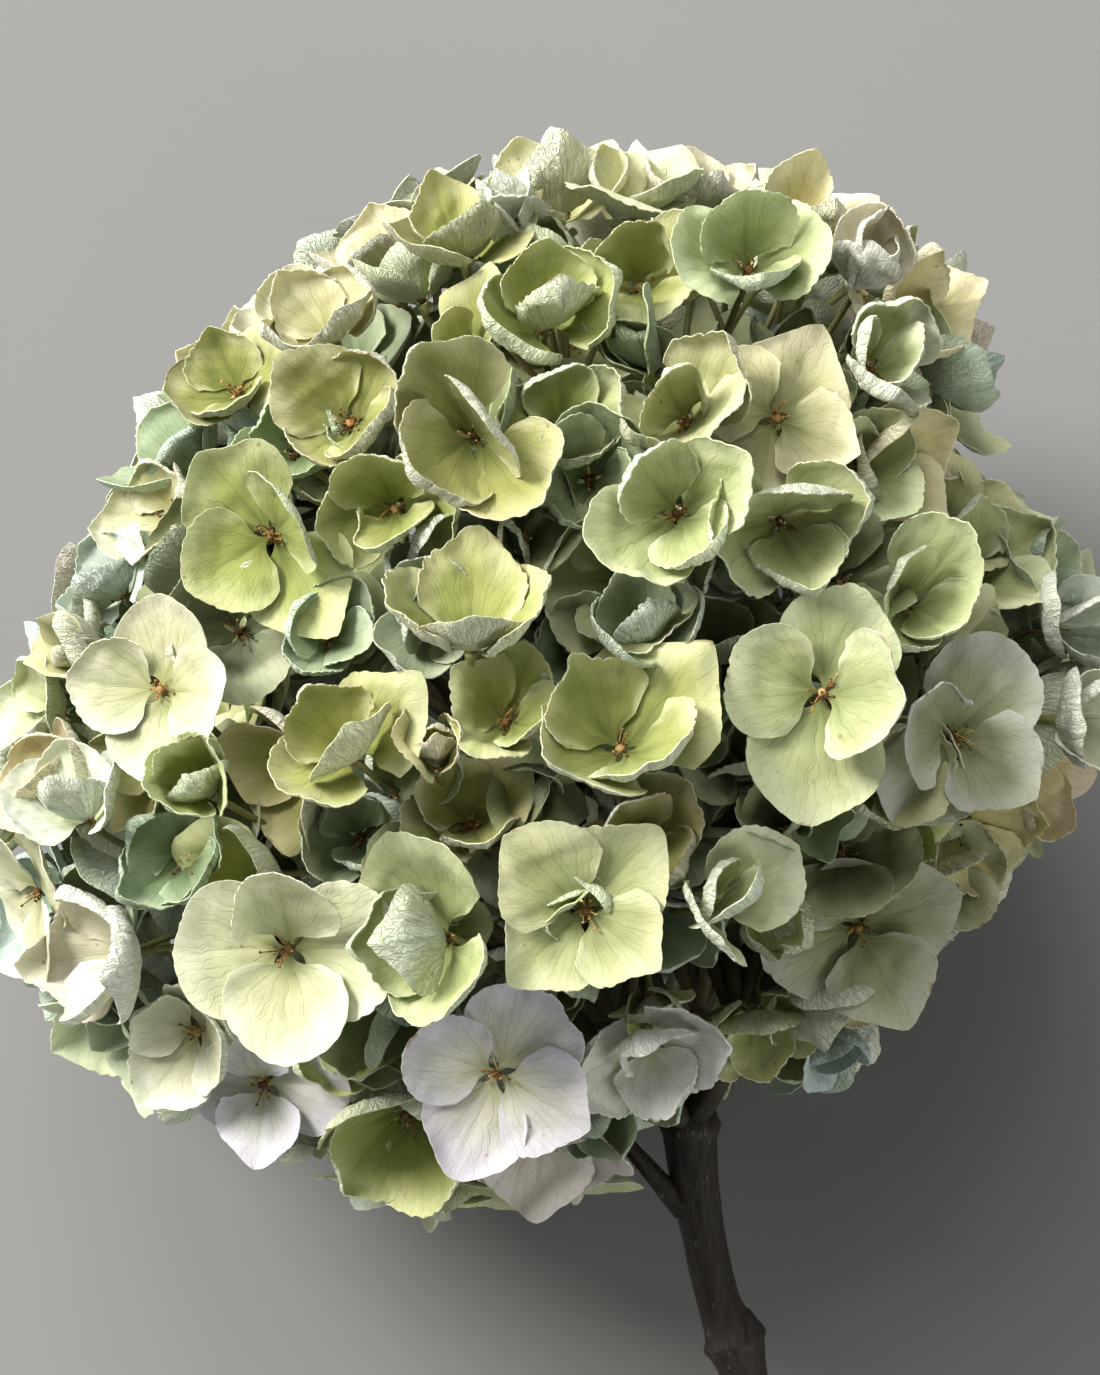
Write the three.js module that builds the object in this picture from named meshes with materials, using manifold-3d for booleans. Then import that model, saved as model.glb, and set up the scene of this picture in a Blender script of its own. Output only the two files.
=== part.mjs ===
// Dried mophead hydrangea: one cut flower head on its woody stem, lying down.
// Millimetres, +Z up.  The head is described in its own growing frame (x across,
// y along the stem towards the top of the head, z out of its broad face) and the
// whole flower is then tipped back by LAY_TILT so that the back of the head and
// the cut end of the stem rest on the ground at z = 0.
import * as THREE from 'three';
import { mergeVertices } from 'three/addons/utils/BufferGeometryUtils.js';
import Module from 'manifold-3d';

const wasm = await Module();
wasm.setup();
const { Manifold, Mesh: SolidMesh } = wasm;

// ---------------------------------------------------------------- dimensions
const LAY_TILT = THREE.MathUtils.degToRad(15); // tip-back of the growing frame
const GROUND = -88;          // height of the ground plane in the tipped frame
const SHIFT_X = -2.2;             // moves the finished box centre over the origin
const SHIFT_Y = 85.35;
const GAP = 0.3;                  // clearance between neighbouring pieces
const SEPAL_T = 1.1;              // floret thickness at its centre
const LOBE_HALF = 21;             // half-width of a sepal's broad end, degrees
const NOTCH = 0.80;               // radius at the notch between two sepals
const PEDICEL_R = 0.8;           // floret stalk
const HUB_R = 2.4;                // where a cyme's stalks join
const TWIG_R = 1.15;              // branchlet that carries one cyme
const RAY_R = 2.1;                // primary branch of the head
const FORK = new THREE.Vector3(26.4, -83.5, -5.0);
const FORK_R = 6.6;               // swelling at the top of the stem
const STEM_PATH = [[26.4, -83.5, -5, 5.2], [27.4, -93, -5, 4.6], [29.2, -104, -5.1, 4.1], [32.2, -117, -5.3, 4.0], [35, -124, -5.5, 5.2], [37.6, -134, -5.8, 4.3], [41.5, -158, -6.4, 4.1], [45, -190, -7.4, 4.0], [48, -215, -8.4, 5.0], [50, -225, -8.7, 4.2], [53.5, -255, -9.9, 4.1], [57, -285, -11.2, 4.2]];         // centre line, x y z radius
const SPUR_PATH = [[25.5, -99, -4.5, 2.6], [21, -94, -3.5, 2.0], [16, -88, -2.5, 1.5], [11, -82, -2, 1.3]];         // thin lower side branch, x y z radius

// opening angle of each floret form, degrees above the plane of the floret
const FORM = { open: 10, cup: 30, curl: 36, shell: 36, closed: 58 };

// One row per floret: cyme, centre x y z, facing x y z, roll, radius, form, facets
const FLORETS = [
  [0, 11.65, -10.74, 84.9, 0.035, 0.534, 0.845, 45.0, 20.77, 'cup', 12],
  [0, 5.86, -37.26, 81.1, -0.009, 0.028, 1.0, 48.0, 17.41, 'open', 12],
  [0, 26.15, -37.44, 72.1, 0.589, 0.194, 0.785, 45.0, 16.94, 'shell', 12],
  [0, 40.74, -24.84, 64.14, -0.154, 0.483, 0.862, 40.0, 13.85, 'closed', 8],
  [0, 15.37, -26.9, 68.19, -0.023, 0.24, 0.97, 40.0, 15.55, 'curl', 12],
  [1, -32.42, -11.78, 82.32, -0.155, 0.436, 0.886, 40.0, 16.04, 'cup', 12],
  [1, -13.27, 5.89, 87.19, 0.012, 0.815, 0.58, 0.0, 18.85, 'shell', 12],
  [1, -18.94, -13.49, 80.38, -0.025, 0.518, 0.855, 10.0, 14.03, 'closed', 12],
  [1, -7.2, -6.28, 80.72, -0.04, 0.459, 0.888, 60.0, 13.5, 'curl', 8],
  [1, -13.58, -23.85, 72.17, -0.031, 0.384, 0.923, 30.0, 14.57, 'curl', 12],
  [2, -12.6, 42.08, 79.07, 0.07, 0.035, 0.997, 38.0, 19.35, 'cup', 12],
  [2, 21.26, 28.88, 81.16, -0.083, 0.105, 0.991, 35.0, 18.28, 'curl', 12],
  [2, 12.78, 18.32, 69.72, -0.02, 0.022, 1.0, 10.0, 20.86, 'cup', 12],
  [2, 1.71, 44.1, 66.57, 0.097, 0.236, 0.967, 10.0, 14.69, 'curl', 12],
  [2, 6.81, 35.32, 70.43, 0.04, 0.046, 0.998, 60.0, 15.49, 'curl', 12],
  [3, -17.02, -42.2, 77.18, -0.457, 0.057, 0.888, 15.0, 19.81, 'cup', 12],
  [3, -9.07, -66.0, 66.68, -0.086, -0.203, 0.975, 62.0, 17.45, 'open', 12],
  [4, 38.58, 28.17, 74.33, 0.243, -0.041, 0.969, 15.0, 18.68, 'cup', 12],
  [4, 45.67, -0.92, 79.35, 0.049, 0.021, 0.999, 75.0, 19.56, 'open', 12],
  [4, 15.98, 6.31, 78.06, 0.08, 0.592, 0.802, 25.0, 13.56, 'curl', 8],
  [4, 32.97, -13.82, 64.78, 0.051, 0.22, 0.974, 10.0, 13.84, 'curl', 8],
  [4, 29.08, 4.7, 67.4, 0.057, 0.243, 0.968, 20.0, 15.56, 'curl', 12],
  [5, -47.41, 26.01, 69.28, -0.128, -0.039, 0.991, 38.0, 19.16, 'open', 12],
  [5, -26.05, 30.56, 70.38, -0.263, -0.244, 0.934, 10.0, 15.94, 'cup', 12],
  [5, -16.28, 21.51, 65.99, 0.025, -0.133, 0.991, 40.0, 18.27, 'curl', 12],
  [5, -54.11, 9.69, 54.0, -0.12, 0.086, 0.989, 20.0, 16.34, 'curl', 12],
  [5, -37.66, 8.13, 66.86, -0.045, 0.288, 0.957, 60.0, 12.46, 'curl', 8],
  [6, 38.56, 45.84, 66.15, 0.194, 0.235, 0.952, 60.0, 16.4, 'open', 12],
  [6, 23.54, 44.79, 69.0, -0.182, 0.44, 0.879, 50.0, 16.41, 'curl', 12],
  [6, 55.17, 54.73, 58.05, 0.483, 0.287, 0.827, 70.0, 15.34, 'curl', 12],
  [6, 55.51, 39.64, 48.86, 0.653, 0.055, 0.755, 30.0, 15.2, 'cup', 12],
  [6, 52.37, 37.97, 53.93, 0.328, 0.149, 0.933, 45.0, 13.83, 'cup', 8],
  [7, -66.5, -0.43, 64.36, -0.327, 0.051, 0.944, 84.0, 16.08, 'open', 12],
  [7, -57.16, -18.29, 70.86, -0.323, 0.324, 0.889, 35.0, 17.93, 'closed', 12],
  [7, -44.14, -44.22, 72.27, -0.113, -0.053, 0.992, 2.0, 19.77, 'open', 12],
  [7, -32.31, -25.86, 64.26, -0.051, 0.139, 0.989, 15.0, 13.85, 'curl', 8],
  [8, 69.26, -8.16, 64.25, 0.178, -0.038, 0.983, 58.0, 18.95, 'open', 12],
  [8, 61.19, 14.22, 62.28, 0.163, 0.28, 0.946, 50.0, 16.13, 'cup', 12],
  [8, 57.17, -16.37, 58.92, 0.219, 0.223, 0.95, 45.0, 14.87, 'curl', 12],
  [9, -0.86, 61.79, 60.49, 0.151, 0.482, 0.863, 20.0, 17.42, 'cup', 12],
  [9, 1.66, 82.76, 33.81, -0.136, 0.906, 0.402, 35.0, 18.13, 'cup', 12],
  [9, -4.4, 79.14, 48.17, -0.378, 0.858, 0.348, 20.0, 13.65, 'closed', 8],
  [9, 15.53, 84.17, 36.1, 0.079, 0.887, 0.454, 55.0, 15.92, 'cup', 12],
  [9, -14.89, 74.55, 46.34, -0.078, 0.847, 0.525, 30.0, 16.52, 'cup', 12],
  [10, 34.56, 72.53, 53.96, 0.053, 0.408, 0.911, 10.0, 16.76, 'cup', 12],
  [10, 15.82, 69.88, 49.2, -0.022, 0.408, 0.913, 20.0, 14.77, 'cup', 12],
  [11, -80.01, -23.5, 53.44, -0.371, 0.642, 0.671, 10.0, 15.81, 'shell', 12],
  [11, -84.56, -16.01, 45.01, -0.638, 0.066, 0.768, 30.0, 14.01, 'cup', 12],
  [12, -72.86, -46.74, 47.96, -0.842, -0.12, 0.526, 0.0, 19.44, 'cup', 12],
  [12, -63.8, -30.15, 52.98, -0.209, 0.143, 0.967, 45.0, 15.0, 'curl', 12],
  [13, -37.88, 61.23, 47.7, -0.309, 0.61, 0.729, 45.0, 15.22, 'cup', 12],
  [13, -55.14, 52.03, 41.26, -0.384, 0.39, 0.837, 20.0, 14.09, 'cup', 12],
  [13, -34.14, 45.26, 62.12, -0.202, 0.287, 0.936, 55.0, 15.72, 'cup', 12],
  [13, -43.75, 40.69, 52.17, -0.188, 0.244, 0.951, 30.0, 13.65, 'curl', 8],
  [14, 54.32, -42.26, 44.98, 0.139, -0.238, 0.961, 20.0, 18.4, 'open', 12],
  [14, 50.86, -29.38, 50.78, 0.076, 0.193, 0.978, 5.0, 15.15, 'cup', 12],
  [15, -50.28, -69.77, 44.37, -0.359, -0.42, 0.834, 10.0, 15.47, 'open', 12],
  [15, -25.14, -74.91, 38.42, -0.171, -0.638, 0.751, 45.0, 19.51, 'curl', 12],
  [15, -31.73, -60.38, 47.35, -0.205, -0.166, 0.965, 20.0, 15.12, 'curl', 12],
  [15, -61.88, -60.55, 45.38, -0.423, -0.278, 0.862, 60.0, 14.85, 'cup', 12],
  [16, 90.18, -5.58, 42.93, 0.759, 0.005, 0.651, 10.0, 16.47, 'shell', 12],
  [16, 75.06, 19.74, 32.32, 0.465, 0.427, 0.776, 30.0, 17.73, 'cup', 12],
  [16, 71.25, 27.58, 25.45, 0.408, 0.366, 0.836, 10.0, 13.98, 'cup', 8],
  [16, 84.93, 22.25, 8.8, 0.67, 0.587, 0.454, 40.0, 14.76, 'cup', 12],
  [16, 89.66, 10.58, 31.21, 0.724, 0.241, 0.647, 0.0, 15.6, 'cup', 12],
  [17, -2.43, -76.27, 35.2, -0.047, -0.698, 0.715, 0.0, 18.09, 'cup', 12],
  [17, 16.58, -61.17, 54.11, 0.128, -0.42, 0.899, 20.0, 16.79, 'curl', 12],
  [17, 36.67, -58.35, 30.92, 0.153, -0.529, 0.835, 10.0, 14.3, 'cup', 12],
  [17, 17.05, -67.65, 29.57, 0.099, -0.641, 0.761, 50.0, 14.33, 'cup', 12],
  [18, 44.22, 81.58, 27.63, 0.244, 0.895, 0.373, 15.0, 16.11, 'cup', 12],
  [18, 60.43, 65.02, 28.87, 0.586, 0.442, 0.679, 20.0, 18.69, 'cup', 12],
  [18, 53.92, 70.51, 43.68, 0.239, 0.62, 0.747, 60.0, 18.13, 'closed', 12],
  [18, 26.26, 85.4, 29.04, 0.164, 0.892, 0.421, 10.0, 14.34, 'cup', 12],
  [19, -88.54, -5.34, 25.82, -0.833, 0.203, 0.514, 20.0, 15.72, 'cup', 12],
  [19, -76.99, 16.77, 23.6, -0.747, 0.368, 0.554, 35.0, 13.58, 'cup', 8],
  [19, -81.99, 8.07, 21.63, -0.842, 0.245, 0.481, 10.0, 13.18, 'cup', 8],
  [19, -93.62, 0.38, 4.17, -0.788, 0.594, 0.159, 43.4, 17.61, 'open', 8],
  [20, -68.17, 31.04, 25.74, -0.681, 0.221, 0.699, 10.0, 13.54, 'cup', 8],
  [20, -66.27, 44.23, -16.91, -0.847, 0.452, -0.279, 85.1, 17.93, 'curl', 8],
  [20, -83.7, 18.56, -3.76, -0.961, 0.272, -0.051, 77.1, 17.36, 'open', 8],
  [20, -64.45, 28.64, 3.34, -0.681, 0.345, -0.647, 41.6, 19.53, 'cup', 8],
  [21, 74.23, -23.63, 21.45, 0.475, -0.474, 0.741, 15.0, 16.26, 'cup', 12],
  [21, 85.48, -15.54, 8.8, 0.808, -0.29, 0.513, 30.0, 16.55, 'cup', 12],
  [21, 70.26, -32.73, 21.08, 0.406, -0.158, 0.9, 20.0, 13.63, 'cup', 8],
  [22, -43.85, 64.62, 19.37, -0.462, 0.678, 0.572, 30.0, 14.98, 'cup', 12],
  [22, -28.16, 74.42, 26.23, -0.333, 0.872, 0.359, 15.0, 15.71, 'cup', 12],
  [22, -23.97, 85.81, 6.83, -0.416, 0.909, 0.013, 80.3, 18.5, 'open', 8],
  [23, -59.02, 56.48, 8.8, -0.601, 0.558, 0.572, 60.0, 13.87, 'cup', 8],
  [24, 51.28, -62.2, 8.8, 0.194, -0.687, 0.7, 30.0, 13.87, 'closed', 8],
  [24, 57.99, -51.68, 2.8, 0.376, -0.437, 0.817, 40.0, 14.89, 'cup', 12],
  [25, -88.02, -39.13, 8.8, -0.831, -0.175, 0.528, 50.0, 17.89, 'cup', 12],
  [25, -73.48, -58.26, 13.19, -0.672, -0.653, 0.349, 15.6, 18.83, 'curl', 8],
  [25, -91.48, -36.57, 33.0, -0.873, -0.28, 0.4, 37.3, 18.24, 'open', 8],
  [25, -83.91, -54.24, -10.63, -0.633, -0.77, -0.08, 64.4, 17.65, 'shell', 8],
  [26, 65.86, 35.42, -5.33, 0.66, 0.696, 0.283, 70.9, 18.64, 'cup', 8],
  [26, 69.86, 50.4, 13.61, 0.996, 0.077, 0.054, 46.0, 16.67, 'open', 8],
  [27, -64.63, -65.88, -8.2, -0.552, -0.428, -0.716, 3.7, 17.32, 'cup', 8],
  [27, -43.46, -73.92, 5.16, -0.781, -0.624, -0.035, 65.2, 17.96, 'cup', 8],
  [28, 72.27, -25.35, -8.25, 0.987, 0.096, 0.128, 55.3, 19.98, 'curl', 8],
  [28, 76.27, -29.26, -34.16, 0.754, -0.43, -0.497, 67.9, 18.43, 'closed', 8],
  [28, 65.39, -42.46, -21.4, 0.956, -0.258, -0.139, 59.8, 17.59, 'cup', 8],
  [29, 49.08, 87.83, -11.64, 0.276, 0.959, -0.062, 18.9, 16.82, 'open', 8],
  [29, 22.28, 87.01, -19.92, 0.365, 0.904, -0.223, 6.9, 18.72, 'cup', 8],
  [29, 35.53, 81.9, 5.98, 0.505, 0.837, 0.212, 30.5, 17.51, 'closed', 8],
  [29, 65.05, 68.83, -2.08, 0.724, 0.684, 0.094, 38.8, 18.95, 'curl', 8],
  [30, -98.7, -20.21, -13.24, -0.991, 0.045, -0.123, 7.2, 18.32, 'open', 8],
  [30, -87.12, 0.71, -15.7, -0.972, 0.022, -0.235, 68.1, 16.83, 'cup', 8],
  [31, -25.94, -86.82, -14.91, -0.422, -0.899, 0.12, 29.3, 18.06, 'cup', 8],
  [31, -22.73, -88.36, 17.42, -0.112, -0.958, 0.265, 69.6, 19.38, 'open', 8],
  [31, -1.2, -90.58, -0.06, 0.074, -0.976, 0.206, 85.5, 18.76, 'open', 8],
  [32, 96.14, -1.15, -22.19, 0.782, -0.049, -0.621, 25.4, 19.21, 'open', 8],
  [32, 85.02, 16.56, -13.33, 0.707, 0.349, -0.615, 80.6, 19.61, 'cup', 8],
  [32, 101.94, 8.11, -0.32, 0.923, 0.251, 0.293, 77.3, 17.75, 'open', 8],
  [33, 68.81, 64.34, -27.31, 0.206, 0.779, -0.593, 41.3, 17.65, 'open', 8],
  [33, 57.49, 52.78, -50.82, 0.609, 0.494, -0.621, 24.4, 19.13, 'shell', 8],
  [33, 63.92, 36.9, -30.58, 0.603, 0.448, -0.66, 84.2, 18.1, 'curl', 8],
  [33, 50.33, 72.27, -40.27, 0.402, 0.874, -0.272, 74.6, 19.04, 'cup', 8],
  [34, -77.35, 19.15, -27.55, -0.683, -0.324, -0.654, 69.1, 17.54, 'open', 8],
  [34, -83.61, -5.18, -38.26, -0.706, 0.027, -0.707, 72.2, 18.35, 'curl', 8],
  [35, 3.43, -83.28, -34.6, -0.037, -0.999, -0.011, 5.2, 16.92, 'curl', 8],
  [35, -21.91, -74.77, -40.58, 0.183, -0.861, -0.474, 15.5, 16.68, 'cup', 8],
  [35, -17.1, -60.93, -55.97, 0.069, -0.828, -0.556, 83.8, 18.53, 'open', 8],
  [36, -26.03, 77.86, -35.46, -0.507, 0.755, -0.415, 89.5, 18.72, 'cup', 8],
  [36, -35.58, 71.54, -9.69, -0.681, 0.713, -0.167, 47.8, 18.52, 'shell', 8],
  [36, -10.41, 82.72, -12.52, 0.128, 0.989, -0.08, 19.6, 17.81, 'curl', 8],
  [36, 0.48, 85.67, 7.87, 0.048, 0.991, -0.121, 29.0, 16.68, 'cup', 8],
  [37, 81.3, 20.72, -38.63, 0.739, 0.111, -0.665, 55.7, 17.85, 'curl', 8],
  [37, 67.36, 8.88, -53.19, 0.813, 0.144, -0.564, 42.7, 17.14, 'cup', 8],
  [37, 85.08, -5.78, -41.41, 0.396, -0.285, -0.873, 42.0, 17.74, 'curl', 8],
  [37, 64.69, 30.2, -53.3, 0.244, 0.81, -0.533, 2.6, 18.62, 'cup', 8],
  [38, -68.16, -56.02, -39.86, -0.911, -0.404, -0.079, 13.1, 17.65, 'closed', 8],
  [38, -85.02, -42.36, -32.28, -0.583, -0.431, -0.689, 65.3, 19.77, 'curl', 8],
  [38, -51.0, -70.13, -31.73, -0.178, -0.749, -0.638, 35.3, 17.49, 'curl', 8],
  [39, 3.29, 70.89, -49.61, -0.116, 0.984, -0.137, 19.5, 17.09, 'open', 8],
  [39, 26.65, 68.21, -53.83, 0.528, 0.409, -0.744, 5.9, 19.91, 'curl', 8],
  [39, 10.36, 53.67, -67.76, 0.129, 0.599, -0.791, 67.4, 18.03, 'open', 8],
  [39, 3.33, 86.5, -33.34, -0.007, 0.754, -0.657, 65.1, 18.42, 'open', 8],
  [40, 68.25, -18.47, -52.65, 0.923, -0.017, -0.385, 40.7, 19.79, 'shell', 8],
  [40, 43.69, -16.77, -66.04, 0.354, -0.131, -0.926, 83.4, 17.69, 'cup', 8],
  [41, 39.01, -46.21, -56.3, 0.274, -0.63, -0.727, 60.0, 18.37, 'cup', 8],
  [41, 52.27, -59.8, -25.02, 0.665, -0.695, -0.273, 0.8, 18.16, 'curl', 8],
  [41, 57.75, -41.8, -43.74, -0.055, -0.562, -0.825, 18.4, 19.35, 'cup', 8],
  [42, -64.89, -15.23, -56.92, -0.3, 0.28, -0.912, 22.7, 18.61, 'open', 8],
  [42, -59.59, -39.64, -57.32, -0.78, -0.207, -0.591, 51.6, 18.43, 'curl', 8],
  [42, -63.57, -31.03, -36.01, -0.314, -0.396, -0.863, 84.4, 15.37, 'closed', 8],
  [43, -46.85, 41.24, -57.04, -0.915, 0.166, -0.369, 23.9, 17.33, 'shell', 8],
  [43, -51.57, 60.81, -36.11, -0.46, 0.781, -0.422, 62.9, 17.96, 'curl', 8],
  [43, -63.19, 36.97, -41.51, -0.693, 0.603, -0.396, 28.3, 16.72, 'cup', 8],
  [44, 36.35, 45.41, -61.68, 0.273, 0.462, -0.844, 82.7, 17.52, 'curl', 8],
  [44, 47.96, 17.43, -65.17, 0.665, 0.249, -0.704, 59.5, 19.97, 'cup', 8],
  [44, 26.07, 22.27, -59.31, 0.396, -0.399, -0.827, 78.4, 14.45, 'cup', 8],
  [45, -31.69, -45.09, -65.13, -0.463, -0.296, -0.835, 63.3, 16.84, 'open', 8],
  [45, -29.03, -18.95, -72.38, -0.271, -0.255, -0.928, 86.1, 18.16, 'cup', 8],
  [45, -42.27, -62.21, -53.03, -0.5, -0.657, -0.564, 13.1, 19.95, 'curl', 8],
  [45, -12.69, -30.62, -58.45, -0.022, -0.38, -0.925, 31.7, 14.6, 'curl', 8],
  [46, -0.57, -50.87, -66.0, -0.096, -0.231, -0.968, 32.6, 19.46, 'shell', 8],
  [46, 23.2, -66.76, -32.75, 0.549, -0.8, -0.241, 65.9, 19.91, 'cup', 8],
  [46, 18.87, -60.07, -55.96, 0.449, -0.449, -0.772, 9.4, 17.71, 'shell', 8],
  [46, 21.14, -36.87, -69.59, -0.188, -0.345, -0.919, 6.0, 18.36, 'cup', 8],
  [47, -26.5, 40.92, -68.82, -0.089, 0.809, -0.581, 71.2, 19.52, 'cup', 8],
  [47, -3.28, 35.65, -75.78, -0.324, 0.049, -0.945, 39.4, 17.14, 'cup', 8],
  [47, -18.94, 58.26, -56.53, 0.176, 0.625, -0.761, 44.9, 16.71, 'curl', 8],
  [48, -26.95, 15.18, -73.82, -0.459, 0.145, -0.877, 80.8, 18.7, 'closed', 8],
  [48, -45.9, -3.47, -69.84, -0.549, 0.189, -0.814, 60.5, 19.76, 'cup', 8],
  [48, -67.53, 11.05, -56.56, -0.776, 0.107, -0.622, 50.5, 17.22, 'open', 8],
  [48, -47.57, 17.19, -63.66, -0.266, 0.356, -0.896, 25.4, 19.9, 'cup', 8],
  [49, 14.56, 17.55, -80.37, -0.187, -0.265, -0.946, 14.8, 16.8, 'cup', 8],
  [49, 3.93, -24.7, -78.03, 0.23, -0.411, -0.882, 61.1, 19.61, 'cup', 8],
  [49, 18.77, -6.41, -77.97, -0.22, -0.241, -0.945, 49.0, 19.99, 'cup', 8],
  [49, -9.43, -3.87, -78.87, -0.09, 0.063, -0.994, 1.7, 19.67, 'shell', 8],
];
// One row per cyme: hub x y z, ray number
const HUBS = [
  [16.61, -39.41, 46.31, 1],
  [-10.7, -26.8, 56.6, 1],
  [8.11, 18.86, 47.43, 5],
  [-2.05, -56.95, 44.17, 1],
  [30.06, -9.86, 46.77, 5],
  [-26.57, 7.17, 39.59, 0],
  [37.74, 26.21, 36.64, 5],
  [-36.54, -31.43, 42.78, 1],
  [54.14, -17.01, 36.42, 5],
  [3.05, 49.62, 32.13, 0],
  [25.06, 49.39, 30.98, 5],
  [-61.63, -32.12, 31.32, 3],
  [-46.74, -43.86, 30.36, 3],
  [-31.2, 30.45, 31.0, 0],
  [45.02, -44.68, 20.24, 5],
  [-24.25, -62.26, 20.25, 3],
  [64.42, -3.41, 12.41, 2],
  [21.41, -65.58, 22.55, 1],
  [39.31, 49.28, 19.73, 5],
  [-60.66, -9.46, 9.56, 3],
  [-46.12, 13.36, 2.6, 0],
  [53.52, -30.25, -1.14, 2],
  [-20.35, 48.2, 10.51, 0],
  [-41.24, 34.62, -1.51, 0],
  [42.35, -57.9, -8.96, 2],
  [-55.44, -43.14, 3.59, 3],
  [48.05, 20.76, 0.01, 2],
  [-25.71, -62.08, 4.47, 3],
  [41.41, -38.28, -10.93, 2],
  [33.99, 52.77, -6.81, 6],
  [-64.29, -17.89, -10.64, 3],
  [-1.97, -73.81, -4.26, 3],
  [69.8, -8.01, -5.22, 2],
  [49.11, 31.47, -25.06, 6],
  [-55.67, -0.7, -17.89, 4],
  [-0.72, -58.86, -22.65, 4],
  [-9.65, 50.86, -8.56, 0],
  [57.57, -3.27, -28.51, 2],
  [-41.99, -49.2, -20.86, 3],
  [10.19, 43.54, -36.68, 6],
  [38.73, -27.82, -37.02, 6],
  [37.03, -47.03, -19.19, 6],
  [-41.44, -33.89, -29.56, 4],
  [-34.76, 25.66, -34.53, 4],
  [27.03, 11.49, -39.25, 6],
  [-12.79, -39.53, -36.95, 4],
  [15.38, -51.88, -27.44, 4],
  [-10.25, 23.19, -47.26, 6],
  [-29.82, -3.84, -45.63, 4],
  [11.28, -12.42, -50.24, 6],
];
// Junction point of every ray
const JUNCTIONS = [
  [5.45, -27.05, 11.36],
  [17.92, -75.88, 10.2],
  [33.11, -67.94, -5.42],
  [10.83, -75.67, -1.33],
  [13.12, -66.45, -14.23],
  [34.47, -61.29, 15.23],
  [29.33, -63.03, -23.27],
];

// ------------------------------------------------------------------- solids
function toSolid(geometry) {
  const g0 = geometry.clone();
  g0.deleteAttribute('normal');
  g0.deleteAttribute('uv');
  const g = mergeVertices(g0, 1e-4);
  const pos = g.attributes.position.array;
  const idx = Array.from(g.index.array);
  let tris = [];
  for (let i = 0; i < idx.length; i += 3) {
    const [a, b, c] = [idx[i], idx[i + 1], idx[i + 2]];
    if (a !== b && b !== c && c !== a) tris.push(a, b, c);
  }
  let vol = 0;
  const A = new THREE.Vector3(), B = new THREE.Vector3(), C = new THREE.Vector3();
  for (let i = 0; i < tris.length; i += 3) {
    A.fromArray(pos, tris[i] * 3); B.fromArray(pos, tris[i + 1] * 3); C.fromArray(pos, tris[i + 2] * 3);
    vol += A.dot(B.clone().cross(C));
  }
  if (vol < 0) for (let i = 0; i < tris.length; i += 3) [tris[i], tris[i + 1]] = [tris[i + 1], tris[i]];
  return new Manifold(new SolidMesh({ numProp: 3, vertProperties: Float32Array.from(pos), triVerts: Uint32Array.from(tris) }));
}

function toMesh(name, solid, material) {
  const m = solid.getMesh();
  const g = new THREE.BufferGeometry();
  const n = m.numProp;
  const pos = new Float32Array(m.vertProperties.length / n * 3);
  for (let i = 0, j = 0; i < m.vertProperties.length; i += n, j += 3) {
    pos[j] = m.vertProperties[i]; pos[j + 1] = m.vertProperties[i + 1]; pos[j + 2] = m.vertProperties[i + 2];
  }
  g.setAttribute('position', new THREE.BufferAttribute(pos, 3));
  g.setIndex(new THREE.BufferAttribute(Uint32Array.from(m.triVerts), 1));
  g.computeVertexNormals();
  const mesh = new THREE.Mesh(g, material);
  mesh.name = name;
  return mesh;
}

const largest = (solid) => {
  const parts = solid.decompose();
  if (parts.length < 2) return solid;
  return parts.reduce((a, b) => (b.volume() > a.volume() ? b : a));
};

function ngon(n, r) {
  const s = new THREE.Shape();
  for (let i = 0; i < n; i++) {
    const a = (i / n) * Math.PI * 2 + 0.3;
    if (i) s.lineTo(r * Math.cos(a), r * Math.sin(a)); else s.moveTo(r * Math.cos(a), r * Math.sin(a));
  }
  s.closePath();
  return s;
}

// straight round-ish rod between two points
function rod(a, b, r, sides = 4, extra = 0) {
  const d = b.clone().sub(a).normalize().multiplyScalar(extra);
  const path = new THREE.LineCurve3(a.clone().sub(d), b.clone().add(d));
  return toSolid(new THREE.ExtrudeGeometry(ngon(sides, r), { steps: 1, bevelEnabled: false, extrudePath: path }));
}

// tapering rod along a smooth curve through rows of x y z radius
function taper(rows, sides, steps, grow = 0) {
  const curve = new THREE.CatmullRomCurve3(rows.map((r) => new THREE.Vector3(r[0], r[1], r[2])), false, 'centripetal');
  const g = new THREE.ExtrudeGeometry(ngon(sides, 1), { steps, bevelEnabled: false, extrudePath: curve });
  const p = g.attributes.position;
  const centres = curve.getSpacedPoints(steps);
  const lens = curve.getLengths(200), total = lens[200];
  // arc position of each control point
  const arc = rows.map((_, i) => lens[Math.round((i / (rows.length - 1)) * 200)] / total);
  const radiusAt = (t) => {
    for (let i = 1; i < rows.length; i++) if (t <= arc[i] + 1e-9) {
      const k = (t - arc[i - 1]) / Math.max(1e-9, arc[i] - arc[i - 1]);
      return rows[i - 1][3] + k * (rows[i][3] - rows[i - 1][3]);
    }
    return rows[rows.length - 1][3];
  };
  const v = new THREE.Vector3();
  for (let i = 0; i < p.count; i++) {
    v.fromBufferAttribute(p, i);
    let best = 0, bd = Infinity;
    for (let s = 0; s <= steps; s++) { const d = v.distanceToSquared(centres[s]); if (d < bd) { bd = d; best = s; } }
    const r = radiusAt(best / steps) + grow;
    v.sub(centres[best]).multiplyScalar(r).add(centres[best]);
    p.setXYZ(i, v.x, v.y, v.z);
  }
  return toSolid(g);
}

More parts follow.
